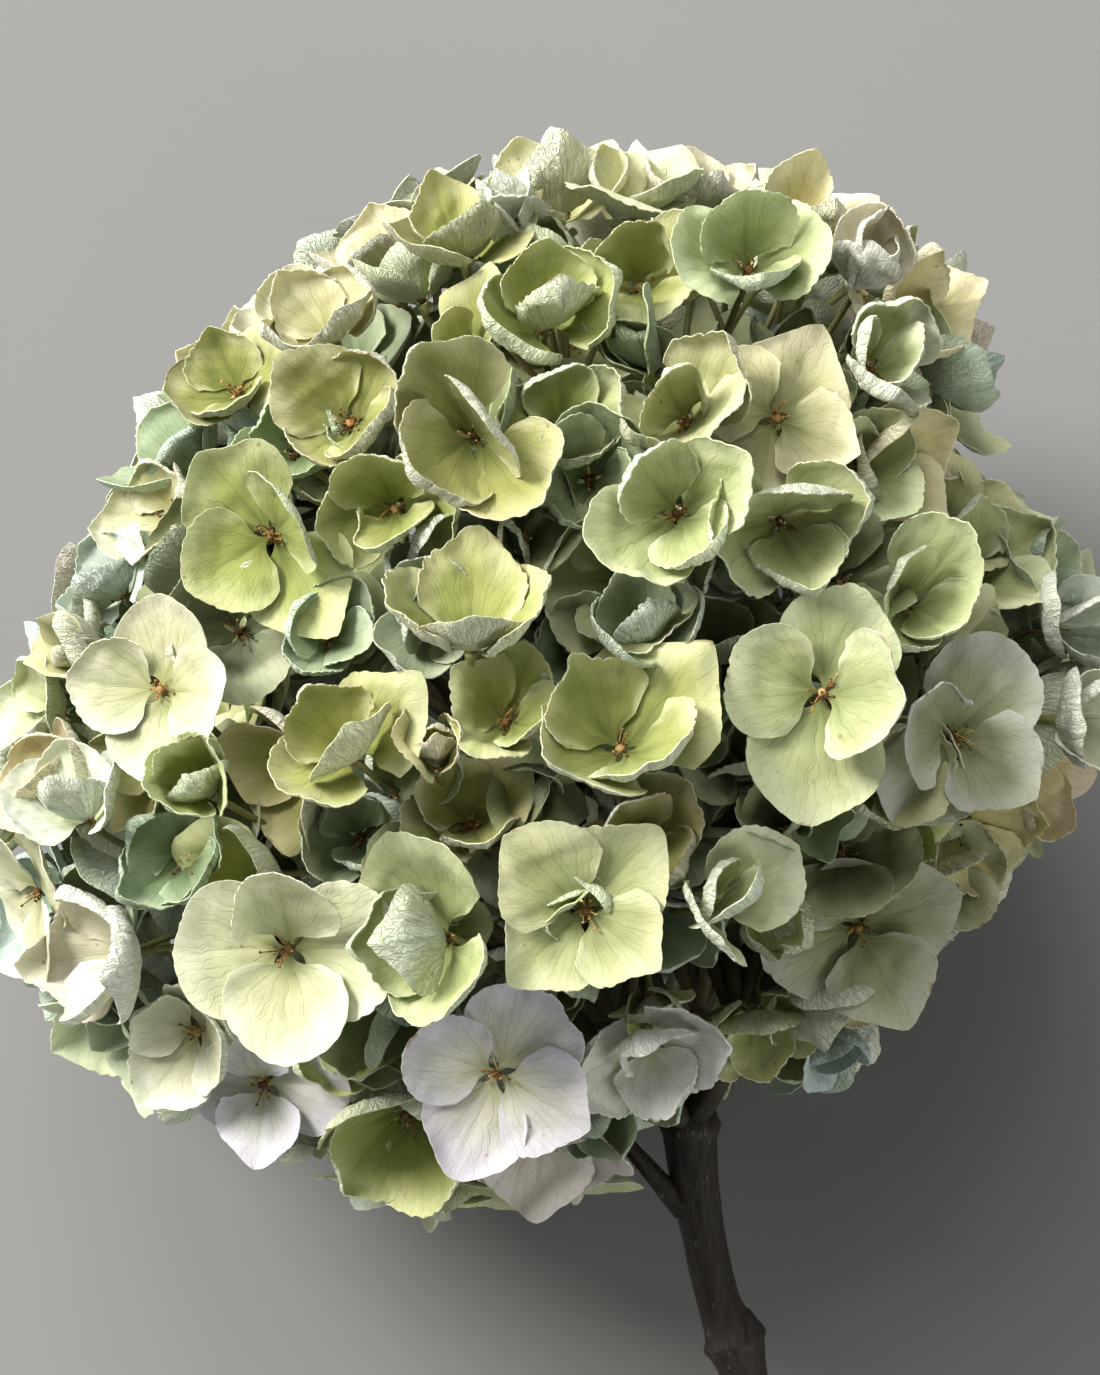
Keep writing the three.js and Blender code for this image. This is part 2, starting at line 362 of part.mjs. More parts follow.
// four broad sepals as one shallow lobed dish, centre at the origin, facing +z
function dish(R, form, facets) {
  const a = THREE.MathUtils.degToRad(FORM[form]);
  const rr = R * Math.cos(a), rz = R * Math.sin(a);
  const mid = [0.56 * R * Math.cos(a * 0.72), 0.56 * R * Math.sin(a * 0.72)];
  const prof = [[0, -SEPAL_T * 0.6]];
  if (facets > 12) prof.push([mid[0], mid[1] - SEPAL_T * 0.5]);
  prof.push([rr, rz]);
  if (facets > 12) prof.push([mid[0], mid[1] + SEPAL_T * 0.4]);
  prof.push([0, SEPAL_T * 0.5]);
  const seg = facets === 8 ? 8 : 12;
  const g = new THREE.LatheGeometry(prof.map(([x, y]) => new THREE.Vector2(x, y)), seg);
  const p = g.attributes.position, n = prof.length;
  for (let i = 0; i <= seg; i++) for (let j = 0; j < n; j++) {
    const k = i % seg;
    let ang, f = 1, lift = 0;
    const rim = prof[j][0] > rr * 0.9 || prof[j][0] === rr;
    if (seg === 12) {
      const q = Math.floor(k / 3), m = k % 3;
      ang = q * 90 + (m === 0 ? -LOBE_HALF : m === 1 ? LOBE_HALF : 45);
      if (rim && m === 2) { f = NOTCH; lift = -0.06 * R; }
      if (rim && m < 2) lift = (q % 2 ? 0.05 : -0.03) * R;
    } else {
      ang = k * 45;
      if (rim && k % 2) f = NOTCH + 0.05;
    }
    const t = THREE.MathUtils.degToRad(ang);
    p.setXYZ(i * n + j, prof[j][0] * f * Math.cos(t), prof[j][0] * f * Math.sin(t), prof[j][1] + lift);
  }
  return g;
}

const V = (a) => new THREE.Vector3(a[0], a[1], a[2]);
const Z = new THREE.Vector3(0, 0, 1);

// half-space beyond a plane, as a large box whose near face lies in the plane
function beyond(point, normal, size = 60) {
  const g = new THREE.BoxGeometry(size, size, size);
  g.translate(0, 0, size / 2);
  g.applyQuaternion(new THREE.Quaternion().setFromUnitVectors(Z, normal));
  g.translate(point.x, point.y, point.z);
  return toSolid(g);
}

const cymes = HUBS.map((h, k) => ({
  k, hub: V(h), ray: h[3],
  members: FLORETS.filter((f) => f[0] === k),
}));
const florets = FLORETS.map((f) => ({ k: f[0], p: V(f.slice(1, 4)), n: V(f.slice(4, 7)).normalize(), roll: f[7], R: f[8], form: f[9], facets: f[10] }));

// seat of a floret's stalk, just inside the thickness of one sepal's base
function seat(f) {
  const a = THREE.MathUtils.degToRad(FORM[f.form]);
  const t = f.facets === 8 ? 0.39 : 0;
  const v = new THREE.Vector3(3 * Math.cos(t) * Math.cos(a), 3 * Math.sin(t) * Math.cos(a), 3 * Math.sin(a) - 0.05 * SEPAL_T);
  v.applyAxisAngle(Z, THREE.MathUtils.degToRad(f.roll));
  v.applyQuaternion(new THREE.Quaternion().setFromUnitVectors(Z, f.n));
  return v.add(f.p);
}

// stalks: each floret's stalk runs from the back of its centre to the cyme's hub
function stalks(c, grow = 0) {
  const g = new THREE.OctahedronGeometry(HUB_R + grow * 1.7, 0);
  g.translate(c.hub.x, c.hub.y, c.hub.z);
  let s = toSolid(g);
  for (const f of florets) if (f.k === c.k) s = s.add(rod(seat(f), c.hub, PEDICEL_R + grow, 3, grow ? 0.2 : 0));
  return s;
}
const slim = cymes.map((c) => stalks(c));
const fat = cymes.map((c) => stalks(c, GAP));

// stem: woody main axis with leaf-node swellings, the fork swelling and one spur
function knob(x, y, z, r, sy = 1) {
  const g = new THREE.IcosahedronGeometry(r, 1);
  g.scale(1, sy, 1);
  g.translate(x, y, z);
  return toSolid(g);
}
function stemSolid(grow = 0) {
  let s = taper(STEM_PATH, 9, 20, grow);
  s = s.add(knob(FORK.x, FORK.y, FORK.z, FORK_R + grow, 1));
  s = s.add(taper(SPUR_PATH, 6, 5, grow));
  return s;
}
// rays: a primary branch to its junction, then one branchlet to each cyme
function ray(r, grow = 0) {
  const J = V(JUNCTIONS[r]);
  const dir = J.clone().sub(FORK).normalize();
  const start = FORK.clone().addScaledVector(dir, FORK_R + GAP + 0.25 - grow);
  const sag = new THREE.Vector3(0, 0.06, 0).multiplyScalar(J.distanceTo(FORK));
  const midp = start.clone().lerp(J, 0.5).add(sag);
  let s = taper([[start.x, start.y, start.z, RAY_R], [midp.x, midp.y, midp.z, RAY_R * 0.85], [J.x, J.y, J.z, RAY_R * 0.8]], 5, 3, grow);
  for (const c of cymes) if (c.ray === r) {
    const d = c.hub.clone().sub(J).normalize();
    s = s.add(rod(J, c.hub.clone().addScaledVector(d, -(HUB_R + GAP + 0.1 - grow)), TWIG_R + grow, 3));
  }
  return s;
}
const rays = JUNCTIONS.map((_, r) => largest(ray(r).subtract(stemSolid(GAP))));
const fatRays = JUNCTIONS.map((_, r) => ray(r, GAP));

let stem = stemSolid();
const fatStem = stemSolid(GAP);

// ------------------------------------------------ florets cut to their places
const groundNormal = new THREE.Vector3(0, -Math.sin(LAY_TILT), -Math.cos(LAY_TILT));
const groundPoint = groundNormal.clone().multiplyScalar(-GROUND);
const ground = beyond(groundPoint, groundNormal, 900);

const solids = cymes.map((c) => {
  let all = null;
  for (const f of florets) {
    if (f.k !== c.k) continue;
    const g = dish(f.R, f.form, f.facets);
    g.rotateZ(THREE.MathUtils.degToRad(f.roll));
    g.applyQuaternion(new THREE.Quaternion().setFromUnitVectors(Z, f.n));
    g.translate(f.p.x, f.p.y, f.p.z);
    let s = toSolid(g);
    for (const o of florets) {
      const d = o.p.clone().sub(f.p), L = d.length();
      if (o === f || L > f.R + o.R) continue;
      d.normalize();
      s = s.subtract(beyond(f.p.clone().addScaledVector(d, L * f.R / (f.R + o.R) - GAP / 2), d));
    }
    cymes.forEach((o, j) => { if (j !== c.k && o.hub.distanceTo(f.p) < 75) s = s.subtract(fat[j]); });
    for (const r of fatRays) s = s.subtract(r);
    s = largest(s.subtract(fatStem));
    all = all ? all.add(s) : s;
  }
  return all;
});

cymes.forEach((c, k) => {
  let sk = slim[k];
  // stalks give way to the rays, the stem and the stalks of earlier cymes
  for (const r of fatRays) sk = sk.subtract(r);
  sk = sk.subtract(fatStem);
  for (let j = 0; j < k; j++) if (cymes[j].hub.distanceTo(c.hub) < 90) sk = sk.subtract(fat[j]);
  solids[k] = solids[k].add(sk).subtract(ground);
});

// ------------------------------------------------------------------ materials
const SEPAL_COLOURS = [0xb9bf86, 0xaab178, 0xc3c795, 0xa3ad7e, 0xc9c9a8];
const sepalMaterials = SEPAL_COLOURS.map((c) => new THREE.MeshStandardMaterial({ color: c, roughness: 0.85, metalness: 0, side: THREE.DoubleSide }));
const barkMaterial = new THREE.MeshStandardMaterial({ color: 0x2c241f, roughness: 0.8, metalness: 0 });
const twigMaterial = new THREE.MeshStandardMaterial({ color: 0x6b6243, roughness: 0.8, metalness: 0 });

// ------------------------------------------------------------------- assembly
const group = new THREE.Group();
const lying = new THREE.Group();
lying.rotation.x = LAY_TILT;
lying.position.set(SHIFT_X, SHIFT_Y, -GROUND);
group.add(lying);

lying.add(toMesh('stem', largest(stem.subtract(ground)), barkMaterial));
rays.forEach((r, i) => lying.add(toMesh(`ray_${i + 1}`, r, twigMaterial)));
solids.forEach((s, k) => lying.add(toMesh(`cyme_${String(k + 1).padStart(2, '0')}`, largest(s), sepalMaterials[k % SEPAL_COLOURS.length])));

group.updateMatrixWorld(true);
export default group;
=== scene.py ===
import bpy
import math
import numpy as np
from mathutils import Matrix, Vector


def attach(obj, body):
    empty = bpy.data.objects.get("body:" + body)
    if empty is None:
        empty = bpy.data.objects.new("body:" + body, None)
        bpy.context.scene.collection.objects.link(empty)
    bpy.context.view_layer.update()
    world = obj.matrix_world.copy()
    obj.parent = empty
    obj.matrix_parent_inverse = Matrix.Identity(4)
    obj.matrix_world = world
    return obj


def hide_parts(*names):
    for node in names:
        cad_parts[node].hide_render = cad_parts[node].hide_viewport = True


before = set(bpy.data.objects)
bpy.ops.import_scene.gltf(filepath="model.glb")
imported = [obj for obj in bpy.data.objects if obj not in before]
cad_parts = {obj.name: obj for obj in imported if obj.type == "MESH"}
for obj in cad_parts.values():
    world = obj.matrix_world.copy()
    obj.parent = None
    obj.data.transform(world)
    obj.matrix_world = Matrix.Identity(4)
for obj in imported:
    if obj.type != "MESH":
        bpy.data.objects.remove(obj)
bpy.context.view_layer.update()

# ------------------------------------------------------------------ the frame
# The head is described in its growing frame (mm): x across, y along the stem
# towards the top, z out of the broad face.  The flower lies tipped back.
TILT = math.radians(15)
GROUND = -88
SX, SY = -2.2, 85.35
VIEW_D = 720.6           # camera to head centre, mm
CT, ST = math.cos(TILT), math.sin(TILT)


def to_row(p):
    """growing frame (mm) to the row's frame (m), pressed flat where it meets the ground"""
    p = np.asarray(p, float)
    x = p[..., 0] + SX
    y = p[..., 1] * CT - p[..., 2] * ST + SY
    z = p[..., 1] * ST + p[..., 2] * CT - GROUND
    z1 = 2.2
    z = np.where(z < z1, 0.15 + (z1 - 0.15) * np.exp(np.minimum(z - z1, 0) / (z1 - 0.15)), z)
    return np.stack([x, y, z], -1) * 0.001


# ------------------------------------------------------------------ the table
# cyme, centre x y z, facing x y z, roll, radius, form, colour, kind
# kind 1: florets of the broad face, 0: the rest, -1: small inner ones
FLORETS = [
    (0, 11.65, -10.74, 84.9, 0.035, 0.534, 0.845, 45.0, 20.77, 'cup', 'green', 1),
    (0, 5.86, -37.26, 81.1, -0.009, 0.028, 1.0, 48.0, 17.41, 'open', 'sage', 1),
    (0, 26.15, -37.44, 72.1, 0.589, 0.194, 0.785, 45.0, 16.94, 'shell', 'pale', 1),
    (0, 40.74, -24.84, 64.14, -0.154, 0.483, 0.862, 40.0, 13.85, 'closed', 'dark', 1),
    (0, 15.37, -26.9, 68.19, -0.023, 0.24, 0.97, 40.0, 15.55, 'curl', 'green', 1),
    (0, 35.37, -34.75, 53.06, 0.367, -0.587, 0.721, 65.7, 15.98, 'closed', 'green', -1),
    (0, 17.99, -54.73, 37.92, 0.1, -0.511, 0.854, 19.7, 14.81, 'closed', 'green', -1),
    (0, 17.46, -37.2, 62.08, 0.15, -0.621, 0.769, 7.5, 15.24, 'curl', 'teal', -1),
    (0, 5.43, -31.58, 48.61, -0.392, -0.855, 0.34, 55.9, 15.34, 'open', 'teal', -1),
    (0, 26.99, -38.22, 32.23, 0.28, -0.919, 0.278, 32.5, 17.58, 'open', 'dark', -1),
    (0, 21.81, -27.77, 44.97, 0.498, -0.754, 0.428, 23.2, 16.84, 'cup', 'green', -1),
    (1, -32.42, -11.78, 82.32, -0.155, 0.436, 0.886, 40.0, 16.04, 'cup', 'green', 1),
    (1, -13.27, 5.89, 87.19, 0.012, 0.815, 0.58, 0.0, 18.85, 'shell', 'green', 1),
    (1, -18.94, -13.49, 80.38, -0.025, 0.518, 0.855, 10.0, 14.03, 'closed', 'green', 1),
    (1, -7.2, -6.28, 80.72, -0.04, 0.459, 0.888, 60.0, 13.5, 'curl', 'green', 1),
    (1, -13.58, -23.85, 72.17, -0.031, 0.384, 0.923, 30.0, 14.57, 'curl', 'green', 1),
    (1, 0.49, -32.6, 71.1, 0.278, -0.445, 0.851, 28.1, 15.25, 'closed', 'green', -1),
    (1, -21.62, -34.63, 68.49, -0.105, 0.239, 0.965, 16.4, 13.73, 'curl', 'dark', -1),
    (1, -22.0, -7.05, 69.46, -0.162, -0.591, 0.79, 23.8, 13.86, 'curl', 'sage', -1),
    (1, -2.0, -14.12, 70.98, -0.188, -0.354, 0.916, 64.2, 13.9, 'closed', 'dark', -1),
    (1, 0.7, -5.5, 55.46, -0.034, 0.714, 0.699, 1.6, 17.85, 'open', 'dark', -1),
    (1, -9.04, -20.03, 56.0, -0.121, -0.248, 0.961, 85.0, 17.1, 'open', 'dark', -1),
    (2, -12.6, 42.08, 79.07, 0.07, 0.035, 0.997, 38.0, 19.35, 'cup', 'green', 1),
    (2, 21.26, 28.88, 81.16, -0.083, 0.105, 0.991, 35.0, 18.28, 'curl', 'sage', 1),
    (2, 12.78, 18.32, 69.72, -0.02, 0.022, 1.0, 10.0, 20.86, 'cup', 'sage', 1),
    (2, 1.71, 44.1, 66.57, 0.097, 0.236, 0.967, 10.0, 14.69, 'curl', 'green', 1),
    (2, 6.81, 35.32, 70.43, 0.04, 0.046, 0.998, 60.0, 15.49, 'curl', 'teal', 1),
    (2, 3.8, 6.05, 71.6, 0.266, 0.142, 0.954, 44.8, 13.78, 'cup', 'teal', -1),
    (2, -4.3, 24.67, 70.87, 0.129, 0.452, 0.883, 67.2, 14.0, 'curl', 'dark', -1),
    (2, 27.91, 22.45, 68.59, 0.392, 0.125, 0.911, 41.9, 13.64, 'cup', 'teal', -1),
    (2, -12.04, 41.98, 65.74, -0.003, 0.647, 0.762, 78.8, 15.72, 'cup', 'dark', -1),
    (2, -12.28, 16.26, 52.47, -0.159, 0.532, 0.832, 63.6, 17.62, 'curl', 'dark', -1),
    (2, 21.4, 30.45, 52.87, 0.166, 0.386, 0.908, 55.7, 17.41, 'cup', 'teal', -1),
    (2, 20.49, 12.85, 51.14, 0.408, 0.424, 0.808, 36.4, 15.27, 'curl', 'green', -1),
    (2, 3.08, 28.32, 55.99, 0.264, 0.758, 0.596, 48.6, 16.61, 'cup', 'green', -1),
    (3, -17.02, -42.2, 77.18, -0.457, 0.057, 0.888, 15.0, 19.81, 'cup', 'sage', 1),
    (3, -9.07, -66.0, 66.68, -0.086, -0.203, 0.975, 62.0, 17.45, 'open', 'lav', 1),
    (3, 1.65, -46.22, 58.04, -0.023, -0.651, 0.759, 67.0, 15.46, 'closed', 'dark', -1),
    (3, -10.2, -61.93, 43.98, 0.201, -0.881, 0.429, 51.1, 13.85, 'curl', 'teal', -1),
    (3, 9.19, -71.18, 38.67, -0.128, -0.506, 0.853, 40.3, 14.3, 'curl', 'teal', -1),
    (3, -3.51, -46.47, 39.3, -0.227, -0.7, 0.677, 31.4, 16.26, 'cup', 'teal', -1),
    (4, 38.58, 28.17, 74.33, 0.243, -0.041, 0.969, 15.0, 18.68, 'cup', 'sage', 1),
    (4, 45.67, -0.92, 79.35, 0.049, 0.021, 0.999, 75.0, 19.56, 'open', 'sage', 1),
    (4, 15.98, 6.31, 78.06, 0.08, 0.592, 0.802, 25.0, 13.56, 'curl', 'teal', 1),
    (4, 32.97, -13.82, 64.78, 0.051, 0.22, 0.974, 10.0, 13.84, 'curl', 'dark', 1),
    (4, 29.08, 4.7, 67.4, 0.057, 0.243, 0.968, 20.0, 15.56, 'curl', 'dark', 1),
    (4, 40.86, 0.1, 62.58, 0.512, 0.316, 0.799, 0.6, 14.37, 'cup', 'teal', -1),
    (4, 20.64, -6.79, 68.16, 0.233, -0.025, 0.972, 12.7, 13.76, 'cup', 'dark', -1),
    (4, 43.06, -17.15, 54.06, 0.363, -0.21, 0.908, 6.4, 14.49, 'cup', 'teal', -1),
    (4, 23.2, -8.61, 50.48, 0.606, -0.012, 0.796, 78.6, 16.79, 'open', 'dark', -1),
    (4, 36.63, -20.68, 37.63, 0.098, -0.587, 0.804, 65.4, 17.55, 'cup', 'teal', -1),
    (5, -47.41, 26.01, 69.28, -0.128, -0.039, 0.991, 38.0, 19.16, 'open', 'green', 1),
    (5, -26.05, 30.56, 70.38, -0.263, -0.244, 0.934, 10.0, 15.94, 'cup', 'green', 1),
    (5, -16.28, 21.51, 65.99, 0.025, -0.133, 0.991, 40.0, 18.27, 'curl', 'teal', 1),
    (5, -54.11, 9.69, 54.0, -0.12, 0.086, 0.989, 20.0, 16.34, 'curl', 'teal', 1),
    (5, -37.66, 8.13, 66.86, -0.045, 0.288, 0.957, 60.0, 12.46, 'curl', 'teal', 1),
    (5, -19.89, 11.58, 73.53, -0.074, 0.033, 0.997, 69.4, 14.17, 'curl', 'teal', -1),
    (5, -47.67, 20.09, 57.87, -0.53, -0.122, 0.839, 32.0, 13.71, 'closed', 'green', -1),
    (5, -50.12, 1.71, 43.41, -0.9, 0.057, 0.432, 24.2, 17.57, 'open', 'sage', -1),
    (5, -37.15, 15.07, 38.81, -0.657, 0.374, 0.654, 50.3, 16.66, 'open', 'sage', -1),
    (5, -27.42, 8.4, 55.23, -0.728, 0.042, 0.685, 64.9, 15.77, 'open', 'dark', -1),
    (6, 38.56, 45.84, 66.15, 0.194, 0.235, 0.952, 60.0, 16.4, 'open', 'sage', 1),
    (6, 23.54, 44.79, 69.0, -0.182, 0.44, 0.879, 50.0, 16.41, 'curl', 'sage', 1),
    (6, 55.17, 54.73, 58.05, 0.483, 0.287, 0.827, 70.0, 15.34, 'curl', 'sage', 1),
    (6, 55.51, 39.64, 48.86, 0.653, 0.055, 0.755, 30.0, 15.2, 'cup', 'yellow', 1),
    (6, 52.37, 37.97, 53.93, 0.328, 0.149, 0.933, 45.0, 13.83, 'cup', 'sage', 1),
    (6, 57.98, 37.59, 33.66, 0.576, 0.608, 0.546, 29.7, 14.21, 'curl', 'green', -1),
    (6, 46.77, 26.35, 43.83, 0.769, 0.457, 0.446, 2.7, 16.3, 'curl', 'green', -1),
    (6, 42.27, 47.06, 52.16, 0.628, 0.292, 0.721, 64.9, 13.8, 'closed', 'green', -1),
    (6, 49.53, 17.37, 59.77, 0.437, 0.454, 0.777, 33.1, 14.74, 'curl', 'dark', -1),
    (6, 47.2, 22.42, 21.6, 0.507, -0.027, 0.862, 32.6, 16.41, 'curl', 'green', -1),
    (6, 42.38, 8.16, 44.95, 0.469, -0.592, 0.655, 31.6, 17.12, 'open', 'dark', -1),
    (6, 39.98, 39.86, 33.6, 0.688, 0.378, 0.62, 24.3, 15.35, 'open', 'green', -1),
    (7, -66.5, -0.43, 64.36, -0.327, 0.051, 0.944, 84.0, 16.08, 'open', 'pale', 1),
    (7, -57.16, -18.29, 70.86, -0.323, 0.324, 0.889, 35.0, 17.93, 'closed', 'green', 1),
    (7, -44.14, -44.22, 72.27, -0.113, -0.053, 0.992, 2.0, 19.77, 'open', 'pale', 1),
    (7, -32.31, -25.86, 64.26, -0.051, 0.139, 0.989, 15.0, 13.85, 'curl', 'teal', 1),
    (7, -27.09, -53.78, 56.6, -0.205, -0.689, 0.695, 57.1, 16.89, 'curl', 'dark', -1),
    (7, -39.85, -12.52, 64.0, -0.797, -0.375, 0.473, 73.1, 16.98, 'cup', 'green', -1),
    (7, -47.06, -32.84, 55.75, -0.781, -0.148, 0.606, 59.8, 16.61, 'curl', 'green', -1),
    (7, -23.35, -40.23, 45.52, -0.069, -0.184, 0.98, 7.3, 15.58, 'cup', 'green', -1),
    (7, -41.58, -33.17, 36.25, -0.648, -0.483, 0.589, 37.0, 15.36, 'cup', 'sage', -1),
    (7, -27.53, -19.77, 49.86, -0.565, -0.304, 0.767, 74.0, 15.58, 'open', 'teal', -1),
    (7, -48.73, -19.66, 43.83, -0.863, -0.168, 0.477, 84.4, 16.92, 'cup', 'dark', -1),
    (8, 69.26, -8.16, 64.25, 0.178, -0.038, 0.983, 58.0, 18.95, 'open', 'greylav', 1),
    (8, 61.19, 14.22, 62.28, 0.163, 0.28, 0.946, 50.0, 16.13, 'cup', 'sage', 1),
    (8, 57.17, -16.37, 58.92, 0.219, 0.223, 0.95, 45.0, 14.87, 'curl', 'green', 1),
    (8, 65.78, 6.2, 46.22, 0.827, -0.303, 0.473, 19.6, 16.72, 'cup', 'sage', -1),
    (8, 57.52, -24.2, 40.1, 0.621, -0.359, 0.697, 48.8, 14.71, 'curl', 'green', -1),
    (8, 66.99, -11.88, 50.46, 0.765, 0.464, 0.446, 8.0, 15.17, 'cup', 'green', -1),
    (8, 65.32, -10.6, 31.78, 0.824, 0.122, 0.553, 39.9, 16.75, 'curl', 'teal', -1),
    (8, 48.0, -7.47, 39.0, 0.936, -0.064, 0.346, 40.2, 16.05, 'cup', 'teal', -1),
    (9, -0.86, 61.79, 60.49, 0.151, 0.482, 0.863, 20.0, 17.42, 'cup', 'green', 1),
    (9, 1.66, 82.76, 33.81, -0.136, 0.906, 0.402, 35.0, 18.13, 'cup', 'pale', 1),
    (9, -4.4, 79.14, 48.17, -0.378, 0.858, 0.348, 20.0, 13.65, 'closed', 'white', 1),
    (9, 15.53, 84.17, 36.1, 0.079, 0.887, 0.454, 55.0, 15.92, 'cup', 'pale', 1),
    (9, -14.89, 74.55, 46.34, -0.078, 0.847, 0.525, 30.0, 16.52, 'cup', 'green', 1),
    (9, 8.96, 78.64, 15.55, 0.367, 0.919, 0.141, 31.7, 13.96, 'curl', 'green', -1),
    (9, 0.8, 68.42, 43.83, -0.204, 0.915, 0.348, 70.8, 16.66, 'closed', 'green', -1),
    (9, -8.3, 71.95, 26.57, -0.089, 0.994, -0.056, 8.9, 15.59, 'curl', 'teal', -1),
    (9, -12.92, 58.23, 51.02, -0.443, 0.215, 0.87, 66.5, 14.29, 'cup', 'green', -1),
    (9, -22.81, 68.33, 37.86, -0.212, 0.961, 0.178, 32.6, 13.96, 'curl', 'green', -1),
    (9, 8.02, 41.9, 44.67, 0.305, 0.08, 0.949, 26.8, 17.45, 'open', 'dark', -1),
    (9, 2.48, 58.26, 30.05, 0.18, 0.792, 0.584, 52.9, 16.93, 'open', 'sage', -1),
    (10, 34.56, 72.53, 53.96, 0.053, 0.408, 0.911, 10.0, 16.76, 'cup', 'sage', 1),
    (10, 15.82, 69.88, 49.2, -0.022, 0.408, 0.913, 20.0, 14.77, 'cup', 'green', 1),
    (10, 37.88, 72.47, 36.03, 0.565, 0.635, 0.527, 42.3, 15.47, 'closed', 'dark', -1),
    (10, 18.98, 54.69, 57.38, -0.559, 0.637, 0.531, 12.8, 15.9, 'closed', 'dark', -1),
    (10, 27.06, 75.1, 18.83, 0.346, 0.862, 0.369, 61.5, 15.63, 'closed', 'teal', -1),
    (10, 19.44, 67.91, 36.95, 0.375, 0.643, 0.668, 67.5, 15.12, 'closed', 'teal', -1),
    (10, 23.44, 58.53, 22.26, -0.153, 0.728, 0.668, 5.3, 17.2, 'open', 'sage', -1),
    (10, 24.48, 47.4, 36.66, 0.218, 0.717, 0.662, 48.3, 15.78, 'cup', 'green', -1),
    (11, -80.01, -23.5, 53.44, -0.371, 0.642, 0.671, 10.0, 15.81, 'shell', 'white', 1),
    (11, -84.56, -16.01, 45.01, -0.638, 0.066, 0.768, 30.0, 14.01, 'cup', 'yellow', 1),
    (11, -73.85, -32.36, 41.24, -0.695, -0.606, 0.387, 60.9, 15.16, 'curl', 'teal', -1),
    (11, -80.92, -43.34, 20.21, -0.975, -0.027, 0.221, 7.1, 13.73, 'curl', 'green', -1),
    (11, -65.71, -13.83, 47.33, -0.807, 0.004, 0.591, 62.4, 14.76, 'cup', 'green', -1),
    (11, -84.06, -16.36, 29.42, -0.97, -0.071, 0.234, 23.3, 15.42, 'closed', 'green', -1),
    (11, -67.05, -33.85, 14.85, -0.496, -0.849, 0.183, 58.7, 17.83, 'cup', 'teal', -1),
    (11, -57.57, -28.21, 30.53, -0.388, -0.786, 0.481, 39.8, 15.46, 'cup', 'sage', -1),
    (12, -72.86, -46.74, 47.96, -0.842, -0.12, 0.526, 0.0, 19.44, 'cup', 'cream', 1),
    (12, -63.8, -30.15, 52.98, -0.209, 0.143, 0.967, 45.0, 15.0, 'curl', 'teal', 1),
    (12, -49.06, -52.62, 37.52, -0.689, -0.559, 0.461, 74.1, 13.95, 'curl', 'teal', -1),
    (12, -69.4, -57.1, 25.29, -0.624, -0.548, 0.557, 79.4, 16.91, 'curl', 'teal', -1),
    (12, -44.85, -48.57, 20.18, -0.611, -0.716, 0.336, 58.5, 15.54, 'curl', 'sage', -1),
    (12, -30.07, -46.64, 31.19, -0.193, -0.076, 0.978, 17.0, 17.29, 'cup', 'dark', -1),
    (13, -37.88, 61.23, 47.7, -0.309, 0.61, 0.729, 45.0, 15.22, 'cup', 'pale', 1),
    (13, -55.14, 52.03, 41.26, -0.384, 0.39, 0.837, 20.0, 14.09, 'cup', 'green', 1),
    (13, -34.14, 45.26, 62.12, -0.202, 0.287, 0.936, 55.0, 15.72, 'cup', 'green', 1),
    (13, -43.75, 40.69, 52.17, -0.188, 0.244, 0.951, 30.0, 13.65, 'curl', 'teal', 1),
    (13, -58.51, 21.13, 42.14, -0.871, 0.339, 0.357, 44.6, 16.58, 'cup', 'dark', -1),
    (13, -30.82, 35.48, 54.44, -0.097, 0.69, 0.717, 37.4, 16.01, 'closed', 'dark', -1),
    (13, -48.46, 39.74, 37.36, -0.406, 0.91, 0.083, 61.5, 15.51, 'closed', 'teal', -1),
    (13, -55.32, 53.36, 26.46, -0.836, 0.195, 0.513, 21.7, 13.96, 'curl', 'green', -1),
    (13, -14.38, 36.48, 42.36, 0.086, 0.63, 0.772, 78.4, 17.66, 'cup', 'teal', -1),
    (13, -48.38, 27.8, 21.85, -0.774, 0.624, 0.112, 82.7, 15.47, 'cup', 'sage', -1),
    (13, -31.61, 39.35, 30.96, -0.749, 0.407, 0.523, 11.6, 16.26, 'curl', 'dark', -1),
    (14, 54.32, -42.26, 44.98, 0.139, -0.238, 0.961, 20.0, 18.4, 'open', 'greylav', 1),
    (14, 50.86, -29.38, 50.78, 0.076, 0.193, 0.978, 5.0, 15.15, 'cup', 'dark', 1),
    (14, 45.81, -49.86, 35.57, 0.397, -0.886, 0.24, 74.9, 15.72, 'curl', 'sage', -1),
    (14, 39.54, -56.86, 18.18, 0.823, -0.432, 0.369, 79.3, 15.81, 'curl', 'dark', -1),
    (14, 61.05, -39.54, 28.79, 0.754, -0.637, 0.163, 11.4, 14.45, 'cup', 'green', -1),
    (14, 44.41, -29.68, 19.95, 0.892, -0.296, 0.341, 69.0, 16.35, 'open', 'dark', -1),
    (15, -50.28, -69.77, 44.37, -0.359, -0.42, 0.834, 10.0, 15.47, 'open', 'lav', 1),
    (15, -25.14, -74.91, 38.42, -0.171, -0.638, 0.751, 45.0, 19.51, 'curl', 'green', 1),
    (15, -31.73, -60.38, 47.35, -0.205, -0.166, 0.965, 20.0, 15.12, 'curl', 'green', 1),
    (15, -61.88, -60.55, 45.38, -0.423, -0.278, 0.862, 60.0, 14.85, 'cup', 'cream', 1),
    (15, -36.12, -65.47, 27.02, -0.294, -0.842, 0.452, 72.9, 13.99, 'closed', 'green', -1),
    (15, -50.8, -69.44, 16.29, -0.528, -0.706, 0.472, 21.4, 16.54, 'curl', 'green', -1),
    (15, -16.43, -75.72, 22.88, -0.075, -0.88, 0.469, 58.9, 14.02, 'cup', 'green', -1),
